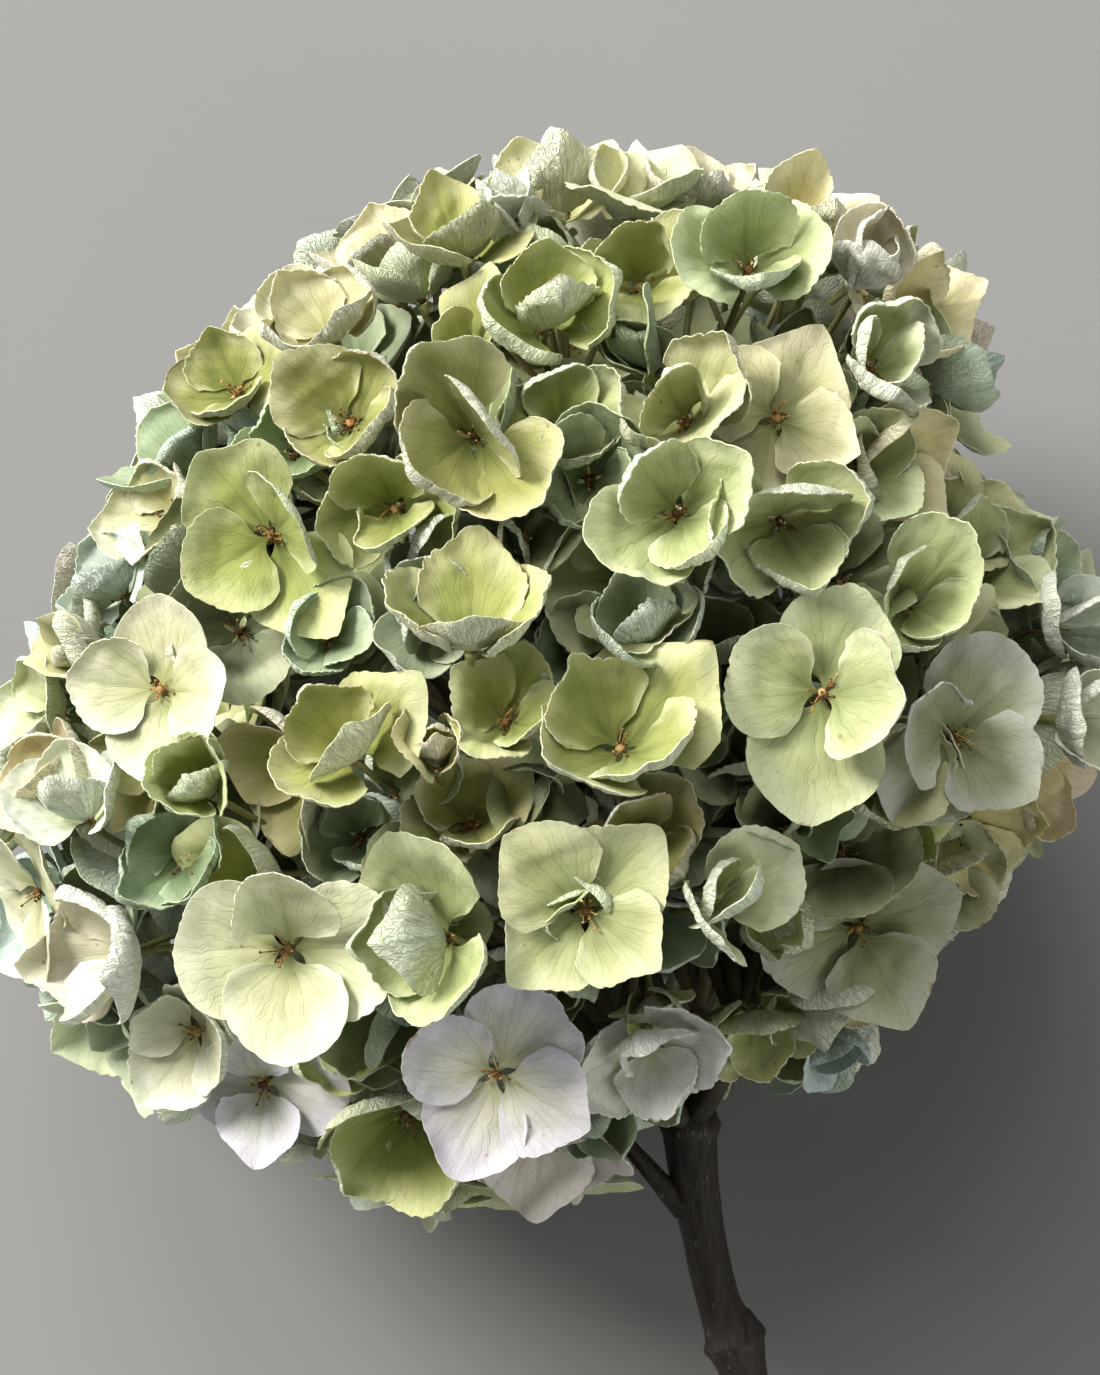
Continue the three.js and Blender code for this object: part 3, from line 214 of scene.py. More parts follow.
    (15, -16.51, -55.77, 24.1, 0.113, -0.734, 0.669, 64.8, 15.03, 'curl', 'teal', -1),
    (16, 90.18, -5.58, 42.93, 0.759, 0.005, 0.651, 10.0, 16.47, 'shell', 'cream', 1),
    (16, 75.06, 19.74, 32.32, 0.465, 0.427, 0.776, 30.0, 17.73, 'cup', 'sage', 1),
    (16, 71.25, 27.58, 25.45, 0.408, 0.366, 0.836, 10.0, 13.98, 'cup', 'sage', 1),
    (16, 84.93, 22.25, 8.8, 0.67, 0.587, 0.454, 40.0, 14.76, 'cup', 'pale', 1),
    (16, 89.66, 10.58, 31.21, 0.724, 0.241, 0.647, 0.0, 15.6, 'cup', 'blue', 1),
    (16, 89.77, -1.56, 15.32, 0.934, -0.206, 0.291, 51.7, 14.87, 'curl', 'green', -1),
    (16, 82.52, -3.01, 33.34, 0.963, -0.241, -0.122, 1.4, 16.63, 'curl', 'sage', -1),
    (16, 84.74, 19.85, 22.73, 0.729, 0.414, 0.544, 32.6, 15.59, 'cup', 'teal', -1),
    (16, 69.02, -4.89, 15.5, 0.976, 0.21, -0.06, 73.5, 15.67, 'open', 'green', -1),
    (16, 59.92, 9.84, 27.15, 0.924, -0.055, 0.379, 0.7, 17.32, 'open', 'green', -1),
    (16, 58.9, -20.38, 18.26, 0.839, -0.522, 0.151, 21.3, 16.92, 'curl', 'dark', -1),
    (17, -2.43, -76.27, 35.2, -0.047, -0.698, 0.715, 0.0, 18.09, 'cup', 'white', 1),
    (17, 16.58, -61.17, 54.11, 0.128, -0.42, 0.899, 20.0, 16.79, 'curl', 'white', 1),
    (17, 36.67, -58.35, 30.92, 0.153, -0.529, 0.835, 10.0, 14.3, 'cup', 'sage', 1),
    (17, 17.05, -67.65, 29.57, 0.099, -0.641, 0.761, 50.0, 14.33, 'cup', 'sage', 1),
    (17, 21.21, -60.61, 19.84, 0.386, -0.922, -0.043, 25.6, 14.1, 'cup', 'sage', -1),
    (17, 1.29, -64.76, 16.45, -0.467, -0.876, 0.119, 26.8, 15.25, 'cup', 'dark', -1),
    (18, 44.22, 81.58, 27.63, 0.244, 0.895, 0.373, 15.0, 16.11, 'cup', 'yellow', 1),
    (18, 60.43, 65.02, 28.87, 0.586, 0.442, 0.679, 20.0, 18.69, 'cup', 'yellow', 1),
    (18, 53.92, 70.51, 43.68, 0.239, 0.62, 0.747, 60.0, 18.13, 'closed', 'cream', 1),
    (18, 26.26, 85.4, 29.04, 0.164, 0.892, 0.421, 10.0, 14.34, 'cup', 'pale', 1),
    (18, 46.71, 74.54, 17.9, 0.193, 0.97, 0.148, 35.4, 13.93, 'curl', 'green', -1),
    (18, 53.34, 56.58, 35.55, 0.9, 0.401, 0.17, 61.4, 15.4, 'cup', 'dark', -1),
    (18, 61.59, 60.02, 9.91, 0.392, 0.919, -0.036, 71.7, 13.66, 'cup', 'teal', -1),
    (18, 69.0, 53.95, 25.91, 0.756, 0.655, -0.009, 45.1, 15.5, 'curl', 'teal', -1),
    (18, 50.25, 46.07, 3.18, 0.938, 0.108, 0.328, 43.8, 16.16, 'open', 'teal', -1),
    (18, 41.67, 53.85, 21.64, 0.646, 0.613, 0.455, 4.3, 17.21, 'cup', 'dark', -1),
    (19, -88.54, -5.34, 25.82, -0.833, 0.203, 0.514, 20.0, 15.72, 'cup', 'pale', 1),
    (19, -76.99, 16.77, 23.6, -0.747, 0.368, 0.554, 35.0, 13.58, 'cup', 'blue', 1),
    (19, -81.99, 8.07, 21.63, -0.842, 0.245, 0.481, 10.0, 13.18, 'cup', 'pale', 1),
    (19, -93.62, 0.38, 4.17, -0.788, 0.594, 0.159, 43.4, 17.61, 'open', 'blue', 0),
    (19, -78.72, 9.35, 7.81, -0.978, -0.018, -0.206, 42.0, 14.47, 'closed', 'teal', -1),
    (19, -78.11, 4.64, 34.92, -0.835, 0.25, 0.49, 30.7, 15.03, 'closed', 'sage', -1),
    (19, -57.03, -10.87, 30.25, -0.618, 0.167, 0.768, 50.8, 17.33, 'cup', 'green', -1),
    (19, -69.39, -4.75, 15.25, -0.928, 0.005, -0.373, 34.0, 15.14, 'open', 'green', -1),
    (19, -77.47, -19.86, 12.03, -0.593, -0.499, -0.631, 15.5, 16.97, 'open', 'green', -1),
    (20, -68.17, 31.04, 25.74, -0.681, 0.221, 0.699, 10.0, 13.54, 'cup', 'pale', 1),
    (20, -66.27, 44.23, -16.91, -0.847, 0.452, -0.279, 85.1, 17.93, 'curl', 'cream', 0),
    (20, -83.7, 18.56, -3.76, -0.961, 0.272, -0.051, 77.1, 17.36, 'open', 'cream', 0),
    (20, -64.45, 28.64, 3.34, -0.681, 0.345, -0.647, 41.6, 19.53, 'cup', 'pale', 0),
    (20, -63.78, 19.69, 24.36, -0.46, 0.878, -0.128, 63.3, 15.76, 'curl', 'dark', -1),
    (20, -58.31, 11.98, -5.8, -0.827, 0.234, -0.511, 81.8, 17.55, 'open', 'dark', -1),
    (20, -56.52, 10.15, 11.76, -0.977, 0.128, 0.17, 72.7, 16.94, 'cup', 'dark', -1),
    (21, 74.23, -23.63, 21.45, 0.475, -0.474, 0.741, 15.0, 16.26, 'cup', 'yellow', 1),
    (21, 85.48, -15.54, 8.8, 0.808, -0.29, 0.513, 30.0, 16.55, 'cup', 'yellow', 1),
    (21, 70.26, -32.73, 21.08, 0.406, -0.158, 0.9, 20.0, 13.63, 'cup', 'sage', 1),
    (21, 65.86, -26.95, -20.44, 0.981, -0.188, 0.047, 80.0, 14.33, 'closed', 'teal', -1),
    (21, 57.72, -39.6, 9.02, 0.422, -0.889, -0.176, 27.7, 16.72, 'curl', 'sage', -1),
    (21, 75.07, -30.89, 2.35, 0.938, -0.178, -0.297, 46.5, 14.77, 'cup', 'sage', -1),
    (21, 50.84, -27.85, -2.9, 0.905, -0.269, -0.329, 68.5, 17.6, 'open', 'green', -1),
    (22, -43.85, 64.62, 19.37, -0.462, 0.678, 0.572, 30.0, 14.98, 'cup', 'pale', 1),
    (22, -28.16, 74.42, 26.23, -0.333, 0.872, 0.359, 15.0, 15.71, 'cup', 'pale', 1),
    (22, -23.97, 85.81, 6.83, -0.416, 0.909, 0.013, 80.3, 18.5, 'open', 'pale', 0),
    (22, -35.03, 56.9, 27.58, -0.317, 0.549, 0.774, 3.1, 16.46, 'cup', 'teal', -1),
    (22, -26.71, 70.32, 12.72, -0.65, 0.757, 0.068, 11.4, 16.09, 'closed', 'green', -1),
    (22, -17.46, 57.18, 6.29, -0.73, 0.532, 0.428, 75.7, 15.82, 'cup', 'dark', -1),
    (22, -15.31, 55.17, 23.46, -0.448, 0.538, 0.714, 5.4, 17.45, 'curl', 'dark', -1),
    (23, -59.02, 56.48, 8.8, -0.601, 0.558, 0.572, 60.0, 13.87, 'cup', 'pale', 1),
    (23, -63.78, 39.65, 17.34, -0.641, 0.664, 0.385, 41.4, 16.91, 'curl', 'teal', -1),
    (23, -42.46, 64.58, -1.69, -0.598, 0.776, 0.202, 37.6, 15.2, 'closed', 'teal', -1),
    (23, -59.71, 54.08, -9.31, -0.696, 0.692, 0.192, 35.5, 13.5, 'curl', 'teal', -1),
    (23, -67.83, 30.22, -12.07, -0.849, 0.429, -0.309, 49.4, 16.91, 'curl', 'green', -1),
    (23, -36.19, 44.61, 7.24, -0.904, 0.304, 0.302, 52.2, 15.97, 'cup', 'sage', -1),
    (23, -48.82, 35.57, -2.52, -0.816, 0.483, 0.317, 56.7, 15.33, 'open', 'dark', -1),
    (23, -37.61, 45.87, -13.88, -0.007, 0.998, 0.057, 30.6, 17.88, 'open', 'dark', -1),
    (24, 51.28, -62.2, 8.8, 0.194, -0.687, 0.7, 30.0, 13.87, 'closed', 'blue', 1),
    (24, 57.99, -51.68, 2.8, 0.376, -0.437, 0.817, 40.0, 14.89, 'cup', 'yellow', 1),
    (24, 48.35, -63.92, -12.91, 0.703, -0.575, -0.419, 74.9, 15.57, 'cup', 'teal', -1),
    (25, -88.02, -39.13, 8.8, -0.831, -0.175, 0.528, 50.0, 17.89, 'cup', 'blue', 1),
    (25, -73.48, -58.26, 13.19, -0.672, -0.653, 0.349, 15.6, 18.83, 'curl', 'pale', 0),
    (25, -91.48, -36.57, 33.0, -0.873, -0.28, 0.4, 37.3, 18.24, 'open', 'pale', 0),
    (25, -83.91, -54.24, -10.63, -0.633, -0.77, -0.08, 64.4, 17.65, 'shell', 'blue', 0),
    (25, -63.68, -60.56, 3.57, -0.796, -0.528, 0.298, 73.1, 16.59, 'curl', 'green', -1),
    (25, -70.85, -52.09, -11.57, -0.681, -0.678, -0.276, 30.5, 15.16, 'curl', 'teal', -1),
    (25, -52.06, -48.25, -1.97, -0.504, -0.817, -0.281, 58.4, 15.33, 'open', 'green', -1),
    (26, 65.86, 35.42, -5.33, 0.66, 0.696, 0.283, 70.9, 18.64, 'cup', 'yellow', 0),
    (26, 69.86, 50.4, 13.61, 0.996, 0.077, 0.054, 46.0, 16.67, 'open', 'pale', 0),
    (26, 81.05, 27.24, -5.11, 0.96, 0.243, -0.138, 22.4, 13.98, 'curl', 'dark', -1),
    (26, 59.09, 34.51, 13.92, 0.868, 0.11, 0.484, 54.9, 14.28, 'closed', 'teal', -1),
    (26, 66.79, 16.29, -1.62, 0.876, 0.479, -0.05, 32.5, 17.12, 'curl', 'dark', -1),
    (26, 47.62, 26.91, 3.25, 0.8, 0.469, -0.375, 63.0, 15.35, 'open', 'green', -1),
    (27, -64.63, -65.88, -8.2, -0.552, -0.428, -0.716, 3.7, 17.32, 'cup', 'pale', 0),
    (27, -43.46, -73.92, 5.16, -0.781, -0.624, -0.035, 65.2, 17.96, 'cup', 'sage', 0),
    (27, -26.39, -64.0, 3.81, -0.374, -0.925, -0.065, 49.1, 15.94, 'cup', 'green', -1),
    (28, 72.27, -25.35, -8.25, 0.987, 0.096, 0.128, 55.3, 19.98, 'curl', 'sage', 0),
    (28, 76.27, -29.26, -34.16, 0.754, -0.43, -0.497, 67.9, 18.43, 'closed', 'pale', 0),
    (28, 65.39, -42.46, -21.4, 0.956, -0.258, -0.139, 59.8, 17.59, 'cup', 'lav', 0),
    (28, 54.6, -45.81, -8.39, 0.804, -0.543, -0.242, 2.7, 14.12, 'curl', 'sage', -1),
    (29, 49.08, 87.83, -11.64, 0.276, 0.959, -0.062, 18.9, 16.82, 'open', 'green', 0),
    (29, 22.28, 87.01, -19.92, 0.365, 0.904, -0.223, 6.9, 18.72, 'cup', 'pale', 0),
    (29, 35.53, 81.9, 5.98, 0.505, 0.837, 0.212, 30.5, 17.51, 'closed', 'green', 0),
    (29, 65.05, 68.83, -2.08, 0.724, 0.684, 0.094, 38.8, 18.95, 'curl', 'sage', 0),
    (29, 33.84, 76.97, -17.42, 0.853, 0.519, -0.052, 87.1, 14.08, 'cup', 'green', -1),
    (29, 56.94, 76.22, -8.67, 0.784, 0.609, -0.121, 34.9, 15.72, 'cup', 'sage', -1),
    (29, 72.2, 56.46, -7.25, 0.871, 0.476, 0.122, 41.9, 14.1, 'closed', 'teal', -1),
    (29, 17.31, 81.46, -6.43, 0.021, 0.992, -0.125, 61.7, 15.15, 'closed', 'sage', -1),
    (29, 43.47, 64.95, -33.17, 0.582, 0.772, -0.256, 10.1, 16.44, 'curl', 'teal', -1),
    (29, 37.38, 61.22, -3.79, 0.431, 0.889, -0.155, 62.3, 17.24, 'open', 'green', -1),
    (29, 39.24, 51.79, -22.59, 0.102, 0.784, -0.613, 6.0, 16.57, 'cup', 'green', -1),
    (29, 18.25, 64.34, 3.73, 0.835, 0.45, 0.317, 25.6, 16.81, 'cup', 'sage', -1),
    (29, 21.13, 64.11, -13.06, 0.313, 0.697, -0.645, 75.0, 17.94, 'open', 'teal', -1),
    (29, 54.12, 58.97, -9.8, -0.301, 0.943, -0.14, 15.6, 15.63, 'cup', 'green', -1),
    (30, -98.7, -20.21, -13.24, -0.991, 0.045, -0.123, 7.2, 18.32, 'open', 'cream', 0),
    (30, -87.12, 0.71, -15.7, -0.972, 0.022, -0.235, 68.1, 16.83, 'cup', 'blue', 0),
    (30, -83.49, -17.65, -15.72, -0.836, 0.319, -0.447, 29.9, 14.64, 'curl', 'green', -1),
    (30, -74.57, -16.36, -43.66, -0.538, -0.435, -0.722, 30.0, 15.54, 'cup', 'green', -1),
    (30, -93.83, -21.93, 7.19, -0.981, 0.165, -0.104, 46.2, 15.7, 'cup', 'green', -1),
    (30, -74.18, -35.72, -26.64, -0.892, -0.21, -0.399, 30.2, 13.93, 'closed', 'dark', -1),
    (30, -85.02, -38.09, -5.2, -0.94, 0.233, -0.248, 83.2, 15.22, 'cup', 'dark', -1),
    (30, -66.7, -26.71, -11.04, -0.962, -0.274, 0.003, 14.1, 17.94, 'open', 'dark', -1),
    (30, -75.46, -8.8, -1.16, -0.836, -0.472, 0.28, 57.6, 16.49, 'curl', 'green', -1),
    (30, -65.88, -18.45, -27.16, -0.959, -0.273, -0.075, 58.3, 17.42, 'cup', 'sage', -1),
    (31, -25.94, -86.82, -14.91, -0.422, -0.899, 0.12, 29.3, 18.06, 'cup', 'pale', 0),
    (31, -22.73, -88.36, 17.42, -0.112, -0.958, 0.265, 69.6, 19.38, 'open', 'sage', 0),
    (31, -1.2, -90.58, -0.06, 0.074, -0.976, 0.206, 85.5, 18.76, 'open', 'sage', 0),
    (31, -0.31, -83.61, 14.91, -0.358, -0.919, 0.166, 7.3, 13.72, 'cup', 'green', -1),
    (31, -16.5, -85.38, 2.63, -0.037, -0.988, 0.147, 9.1, 15.17, 'cup', 'green', -1),
    (31, -0.54, -76.54, -5.35, 0.029, -0.999, -0.046, 85.2, 14.8, 'cup', 'teal', -1),
    (31, -17.38, -81.58, -21.54, 0.033, -0.89, -0.456, 30.5, 15.83, 'closed', 'green', -1),
    (32, 96.14, -1.15, -22.19, 0.782, -0.049, -0.621, 25.4, 19.21, 'open', 'sage', 0),
    (32, 85.02, 16.56, -13.33, 0.707, 0.349, -0.615, 80.6, 19.61, 'cup', 'sage', 0),
    (32, 101.94, 8.11, -0.32, 0.923, 0.251, 0.293, 77.3, 17.75, 'open', 'greylav', 0),
    (32, 86.12, -17.61, -4.93, 0.973, -0.229, 0.009, 87.1, 15.38, 'curl', 'dark', -1),
    (32, 91.72, 1.33, -8.21, 0.898, 0.345, -0.273, 85.5, 13.7, 'curl', 'green', -1),
    (32, 65.07, -14.66, 1.86, 0.978, -0.198, -0.072, 31.7, 16.41, 'open', 'dark', -1),
    (32, 69.91, -2.68, -12.0, 0.894, 0.334, -0.297, 40.3, 16.9, 'open', 'sage', -1),
    (32, 82.41, 10.41, 2.76, 0.98, -0.128, 0.152, 10.1, 17.04, 'cup', 'teal', -1),
    (33, 68.81, 64.34, -27.31, 0.206, 0.779, -0.593, 41.3, 17.65, 'open', 'yellow', 0),
    (33, 57.49, 52.78, -50.82, 0.609, 0.494, -0.621, 24.4, 19.13, 'shell', 'yellow', 0),
    (33, 63.92, 36.9, -30.58, 0.603, 0.448, -0.66, 84.2, 18.1, 'curl', 'pale', 0),
    (33, 50.33, 72.27, -40.27, 0.402, 0.874, -0.272, 74.6, 19.04, 'cup', 'sage', 0),
    (33, 57.39, 24.79, -43.33, 0.64, 0.42, -0.643, 1.6, 14.53, 'curl', 'teal', -1),
    (33, 63.18, 52.0, -26.64, 0.878, 0.477, 0.04, 25.9, 13.87, 'curl', 'sage', -1),
    (33, 70.79, 24.81, -21.1, 0.861, 0.353, -0.367, 11.6, 14.28, 'curl', 'teal', -1),
    (33, 47.44, 42.02, -53.1, 0.565, 0.479, -0.672, 36.3, 15.53, 'curl', 'teal', -1),
    (33, 50.59, 36.07, -32.06, 0.611, 0.779, 0.14, 38.9, 15.4, 'cup', 'sage', -1),
    (33, 50.03, 23.57, -18.3, 0.803, 0.467, -0.371, 10.7, 15.51, 'open', 'dark', -1),
    (33, 33.96, 37.48, -43.56, 0.718, 0.681, 0.145, 56.5, 16.85, 'open', 'green', -1),
    (33, 54.23, 42.23, -14.33, 0.909, 0.365, 0.201, 52.1, 17.85, 'cup', 'dark', -1),
    (34, -77.35, 19.15, -27.55, -0.683, -0.324, -0.654, 69.1, 17.54, 'open', 'blue', 0),
    (34, -83.61, -5.18, -38.26, -0.706, 0.027, -0.707, 72.2, 18.35, 'curl', 'green', 0),
    (34, -76.52, 13.12, -11.78, -0.626, 0.769, -0.131, 17.1, 16.81, 'cup', 'teal', -1),
    (34, -74.23, 3.63, -35.09, -0.888, 0.332, -0.317, 15.1, 16.05, 'curl', 'sage', -1),
    (34, -70.62, -4.83, -18.02, -0.912, 0.239, -0.333, 72.9, 16.25, 'curl', 'sage', -1),
    (34, -49.49, 10.05, -27.04, -0.589, 0.37, -0.718, 74.7, 15.99, 'curl', 'dark', -1),
    (34, -57.72, -7.31, -38.17, -0.668, -0.276, -0.691, 65.1, 17.69, 'cup', 'teal', -1),
    (35, 3.43, -83.28, -34.6, -0.037, -0.999, -0.011, 5.2, 16.92, 'curl', 'lav', 0),
    (35, -21.91, -74.77, -40.58, 0.183, -0.861, -0.474, 15.5, 16.68, 'cup', 'green', 0),
    (35, -17.1, -60.93, -55.97, 0.069, -0.828, -0.556, 83.8, 18.53, 'open', 'blue', 0),
    (35, -1.6, -71.54, -24.78, -0.425, -0.896, 0.131, 49.1, 15.82, 'closed', 'dark', -1),
    (35, 3.2, -62.73, -46.01, 0.124, -0.761, -0.637, 62.6, 15.52, 'curl', 'sage', -1),
    (35, 7.81, -57.29, -22.24, 0.076, -0.855, -0.514, 5.9, 16.31, 'open', 'dark', -1),
    (35, -17.18, -61.94, -23.13, -0.312, -0.895, -0.32, 65.6, 17.06, 'open', 'green', -1),
    (36, -26.03, 77.86, -35.46, -0.507, 0.755, -0.415, 89.5, 18.72, 'cup', 'pale', 0),
    (36, -35.58, 71.54, -9.69, -0.681, 0.713, -0.167, 47.8, 18.52, 'shell', 'pale', 0),
    (36, -10.41, 82.72, -12.52, 0.128, 0.989, -0.08, 19.6, 17.81, 'curl', 'green', 0),
    (36, 0.48, 85.67, 7.87, 0.048, 0.991, -0.121, 29.0, 16.68, 'cup', 'blue', 0),
    (36, -21.91, 77.49, -13.83, -0.097, 0.754, -0.649, 11.0, 16.91, 'curl', 'dark', -1),
    (36, -21.97, 61.02, -40.8, -0.136, 0.948, -0.287, 20.2, 16.68, 'curl', 'teal', -1),
    (36, -9.64, 74.29, -31.5, -0.141, 0.923, -0.358, 55.2, 14.13, 'cup', 'dark', -1),
    (36, 5.99, 76.97, -21.38, -0.474, 0.868, 0.148, 17.3, 14.8, 'closed', 'green', -1),
    (36, -9.32, 79.87, 2.9, 0.19, 0.981, 0.038, 63.6, 16.3, 'curl', 'green', -1),
    (36, 2.07, 62.32, -12.85, 0.114, 0.989, 0.098, 62.4, 16.21, 'open', 'green', -1),
    (36, -21.54, 51.1, -16.59, -0.169, 0.631, -0.757, 3.0, 17.06, 'open', 'sage', -1),
    (36, -0.94, 65.61, 9.2, -0.368, 0.849, 0.379, 21.9, 16.39, 'open', 'green', -1),
    (37, 81.3, 20.72, -38.63, 0.739, 0.111, -0.665, 55.7, 17.85, 'curl', 'sage', 0),
    (37, 67.36, 8.88, -53.19, 0.813, 0.144, -0.564, 42.7, 17.14, 'cup', 'yellow', 0),
    (37, 85.08, -5.78, -41.41, 0.396, -0.285, -0.873, 42.0, 17.74, 'curl', 'greylav', 0),
    (37, 64.69, 30.2, -53.3, 0.244, 0.81, -0.533, 2.6, 18.62, 'cup', 'yellow', 0),
    (37, 76.16, -8.73, -32.56, 0.933, -0.245, -0.263, 70.5, 15.73, 'curl', 'dark', -1),
    (37, 56.52, -8.9, -55.87, 0.707, -0.114, -0.698, 6.6, 13.96, 'closed', 'green', -1),
    (37, 60.47, -20.49, -38.64, 0.651, -0.545, -0.529, 38.8, 16.79, 'curl', 'green', -1),
    (37, 85.79, 12.31, -30.43, 0.87, 0.128, -0.477, 22.6, 16.96, 'closed', 'teal', -1),
    (37, 52.87, 9.87, -55.56, 0.392, 0.041, -0.919, 13.8, 16.98, 'cup', 'dark', -1),
    (37, 69.14, 9.56, -40.85, 0.953, -0.116, -0.279, 61.8, 14.86, 'curl', 'teal', -1),
    (37, 47.16, 7.62, -38.51, 0.891, -0.013, -0.454, 30.7, 17.65, 'curl', 'green', -1),
    (37, 45.72, -10.75, -40.86, 0.742, -0.024, -0.67, 21.3, 15.52, 'open', 'green', -1),
    (37, 60.93, 10.93, -24.85, 0.88, 0.207, -0.428, 18.0, 17.33, 'cup', 'teal', -1),
    (38, -68.16, -56.02, -39.86, -0.911, -0.404, -0.079, 13.1, 17.65, 'closed', 'cream', 0),
    (38, -85.02, -42.36, -32.28, -0.583, -0.431, -0.689, 65.3, 19.77, 'curl', 'pale', 0),
    (38, -51.0, -70.13, -31.73, -0.178, -0.749, -0.638, 35.3, 17.49, 'curl', 'cream', 0),
    (38, -63.29, -61.46, -26.22, -0.261, -0.905, -0.335, 85.9, 15.9, 'curl', 'green', -1),
    (38, -32.43, -70.57, -18.3, -0.376, -0.901, 0.214, 10.2, 14.18, 'cup', 'sage', -1),
    (38, -38.82, -63.85, -40.01, -0.184, -0.944, -0.275, 9.1, 16.25, 'cup', 'dark', -1),
    (38, -51.14, -71.9, -6.0, -0.809, -0.56, -0.181, 13.1, 15.44, 'curl', 'dark', -1),
    (38, -37.43, -51.04, -23.62, -0.326, -0.905, 0.273, 76.6, 17.45, 'cup', 'green', -1),
    (38, -52.55, -43.32, -19.37, -0.735, -0.644, -0.213, 1.2, 15.48, 'open', 'sage', -1),
    (38, -38.08, -56.31, -7.32, -0.745, -0.613, -0.263, 83.7, 15.66, 'curl', 'green', -1),
    (39, 3.29, 70.89, -49.61, -0.116, 0.984, -0.137, 19.5, 17.09, 'open', 'green', 0),
    (39, 26.65, 68.21, -53.83, 0.528, 0.409, -0.744, 5.9, 19.91, 'curl', 'green', 0),
    (39, 10.36, 53.67, -67.76, 0.129, 0.599, -0.791, 67.4, 18.03, 'open', 'pale', 0),
    (39, 3.33, 86.5, -33.34, -0.007, 0.754, -0.657, 65.1, 18.42, 'open', 'pale', 0),
    (39, 32.65, 56.47, -46.52, 0.487, 0.807, -0.334, 32.5, 15.69, 'curl', 'sage', -1),
    (39, 11.42, 68.85, -40.8, 0.153, 0.903, -0.401, 15.4, 15.18, 'curl', 'teal', -1),
    (39, 4.65, 49.53, -55.5, 0.278, 0.451, -0.848, 54.0, 15.06, 'curl', 'dark', -1),
    (39, 17.31, 49.46, -36.07, 0.063, 0.642, -0.764, 9.9, 15.14, 'cup', 'green', -1),
    (39, -8.53, 50.38, -29.77, -0.225, 0.902, -0.369, 2.7, 15.06, 'cup', 'teal', -1),
    (39, 14.62, 29.83, -48.02, -0.106, 0.633, -0.767, 82.5, 16.37, 'curl', 'teal', -1),
    (39, 1.5, 39.13, -42.17, -0.17, 0.724, -0.669, 8.0, 16.66, 'cup', 'teal', -1),
    (40, 68.25, -18.47, -52.65, 0.923, -0.017, -0.385, 40.7, 19.79, 'shell', 'sage', 0),
    (40, 43.69, -16.77, -66.04, 0.354, -0.131, -0.926, 83.4, 17.69, 'cup', 'green', 0),
    (40, 32.72, -23.83, -58.23, 0.569, -0.265, -0.779, 3.0, 14.2, 'closed', 'teal', -1),
    (40, 25.7, -43.11, -49.36, 0.659, -0.38, -0.649, 54.7, 15.29, 'curl', 'green', -1),
    (40, 42.07, -45.91, -39.53, 0.629, -0.745, -0.223, 75.8, 14.44, 'cup', 'teal', -1),
    (40, 45.68, -21.9, -27.85, 0.49, -0.676, -0.55, 19.9, 17.61, 'cup', 'teal', -1),
    (40, 30.43, -29.78, -39.61, 0.447, 0.003, -0.895, 27.4, 15.06, 'cup', 'green', -1),
    (41, 39.01, -46.21, -56.3, 0.274, -0.63, -0.727, 60.0, 18.37, 'cup', 'green', 0),
    (41, 52.27, -59.8, -25.02, 0.665, -0.695, -0.273, 0.8, 18.16, 'curl', 'pale', 0),
    (41, 57.75, -41.8, -43.74, -0.055, -0.562, -0.825, 18.4, 19.35, 'cup', 'pale', 0),
    (41, 44.63, -42.07, -23.07, 0.478, -0.556, -0.68, 59.7, 16.77, 'curl', 'teal', -1),
    (42, -64.89, -15.23, -56.92, -0.3, 0.28, -0.912, 22.7, 18.61, 'open', 'green', 0),
    (42, -59.59, -39.64, -57.32, -0.78, -0.207, -0.591, 51.6, 18.43, 'curl', 'sage', 0),
    (42, -63.57, -31.03, -36.01, -0.314, -0.396, -0.863, 84.4, 15.37, 'closed', 'green', 0),
    (42, -44.01, -43.44, -47.32, -0.757, -0.426, -0.496, 32.3, 14.07, 'cup', 'teal', -1),
    (42, -58.11, -28.51, -46.48, -0.592, -0.05, -0.804, 81.2, 16.55, 'curl', 'teal', -1),
    (42, -45.04, -30.18, -61.28, -0.601, -0.111, -0.791, 33.9, 13.51, 'curl', 'green', -1),
    (42, -29.7, -33.56, -41.88, -0.314, -0.589, -0.744, 34.6, 15.8, 'open', 'dark', -1),
    (42, -48.58, -32.49, -31.96, -0.796, -0.417, -0.439, 13.5, 17.33, 'cup', 'dark', -1),
    (43, -46.85, 41.24, -57.04, -0.915, 0.166, -0.369, 23.9, 17.33, 'shell', 'cream', 0),
    (43, -51.57, 60.81, -36.11, -0.46, 0.781, -0.422, 62.9, 17.96, 'curl', 'pale', 0),
    (43, -63.19, 36.97, -41.51, -0.693, 0.603, -0.396, 28.3, 16.72, 'cup', 'green', 0),
    (43, -59.68, 47.43, -27.24, -0.992, 0.109, -0.07, 63.0, 13.73, 'closed', 'sage', -1),
    (43, -40.35, 60.11, -27.86, -0.091, 0.698, -0.711, 7.1, 14.17, 'closed', 'teal', -1),
    (43, -50.68, 18.5, -47.13, -0.953, -0.099, -0.288, 72.7, 15.26, 'cup', 'green', -1),
    (43, -37.48, 32.33, -57.39, -0.408, 0.203, -0.89, 6.7, 15.07, 'curl', 'green', -1),
    (43, -60.94, 22.63, -30.03, -0.679, 0.539, -0.499, 69.3, 16.7, 'closed', 'dark', -1),
    (43, -38.35, 48.18, -46.68, -0.013, 0.154, -0.988, 10.6, 15.7, 'curl', 'dark', -1),
    (43, -42.13, 35.31, -34.35, -0.967, 0.231, -0.107, 74.9, 17.78, 'curl', 'teal', -1),
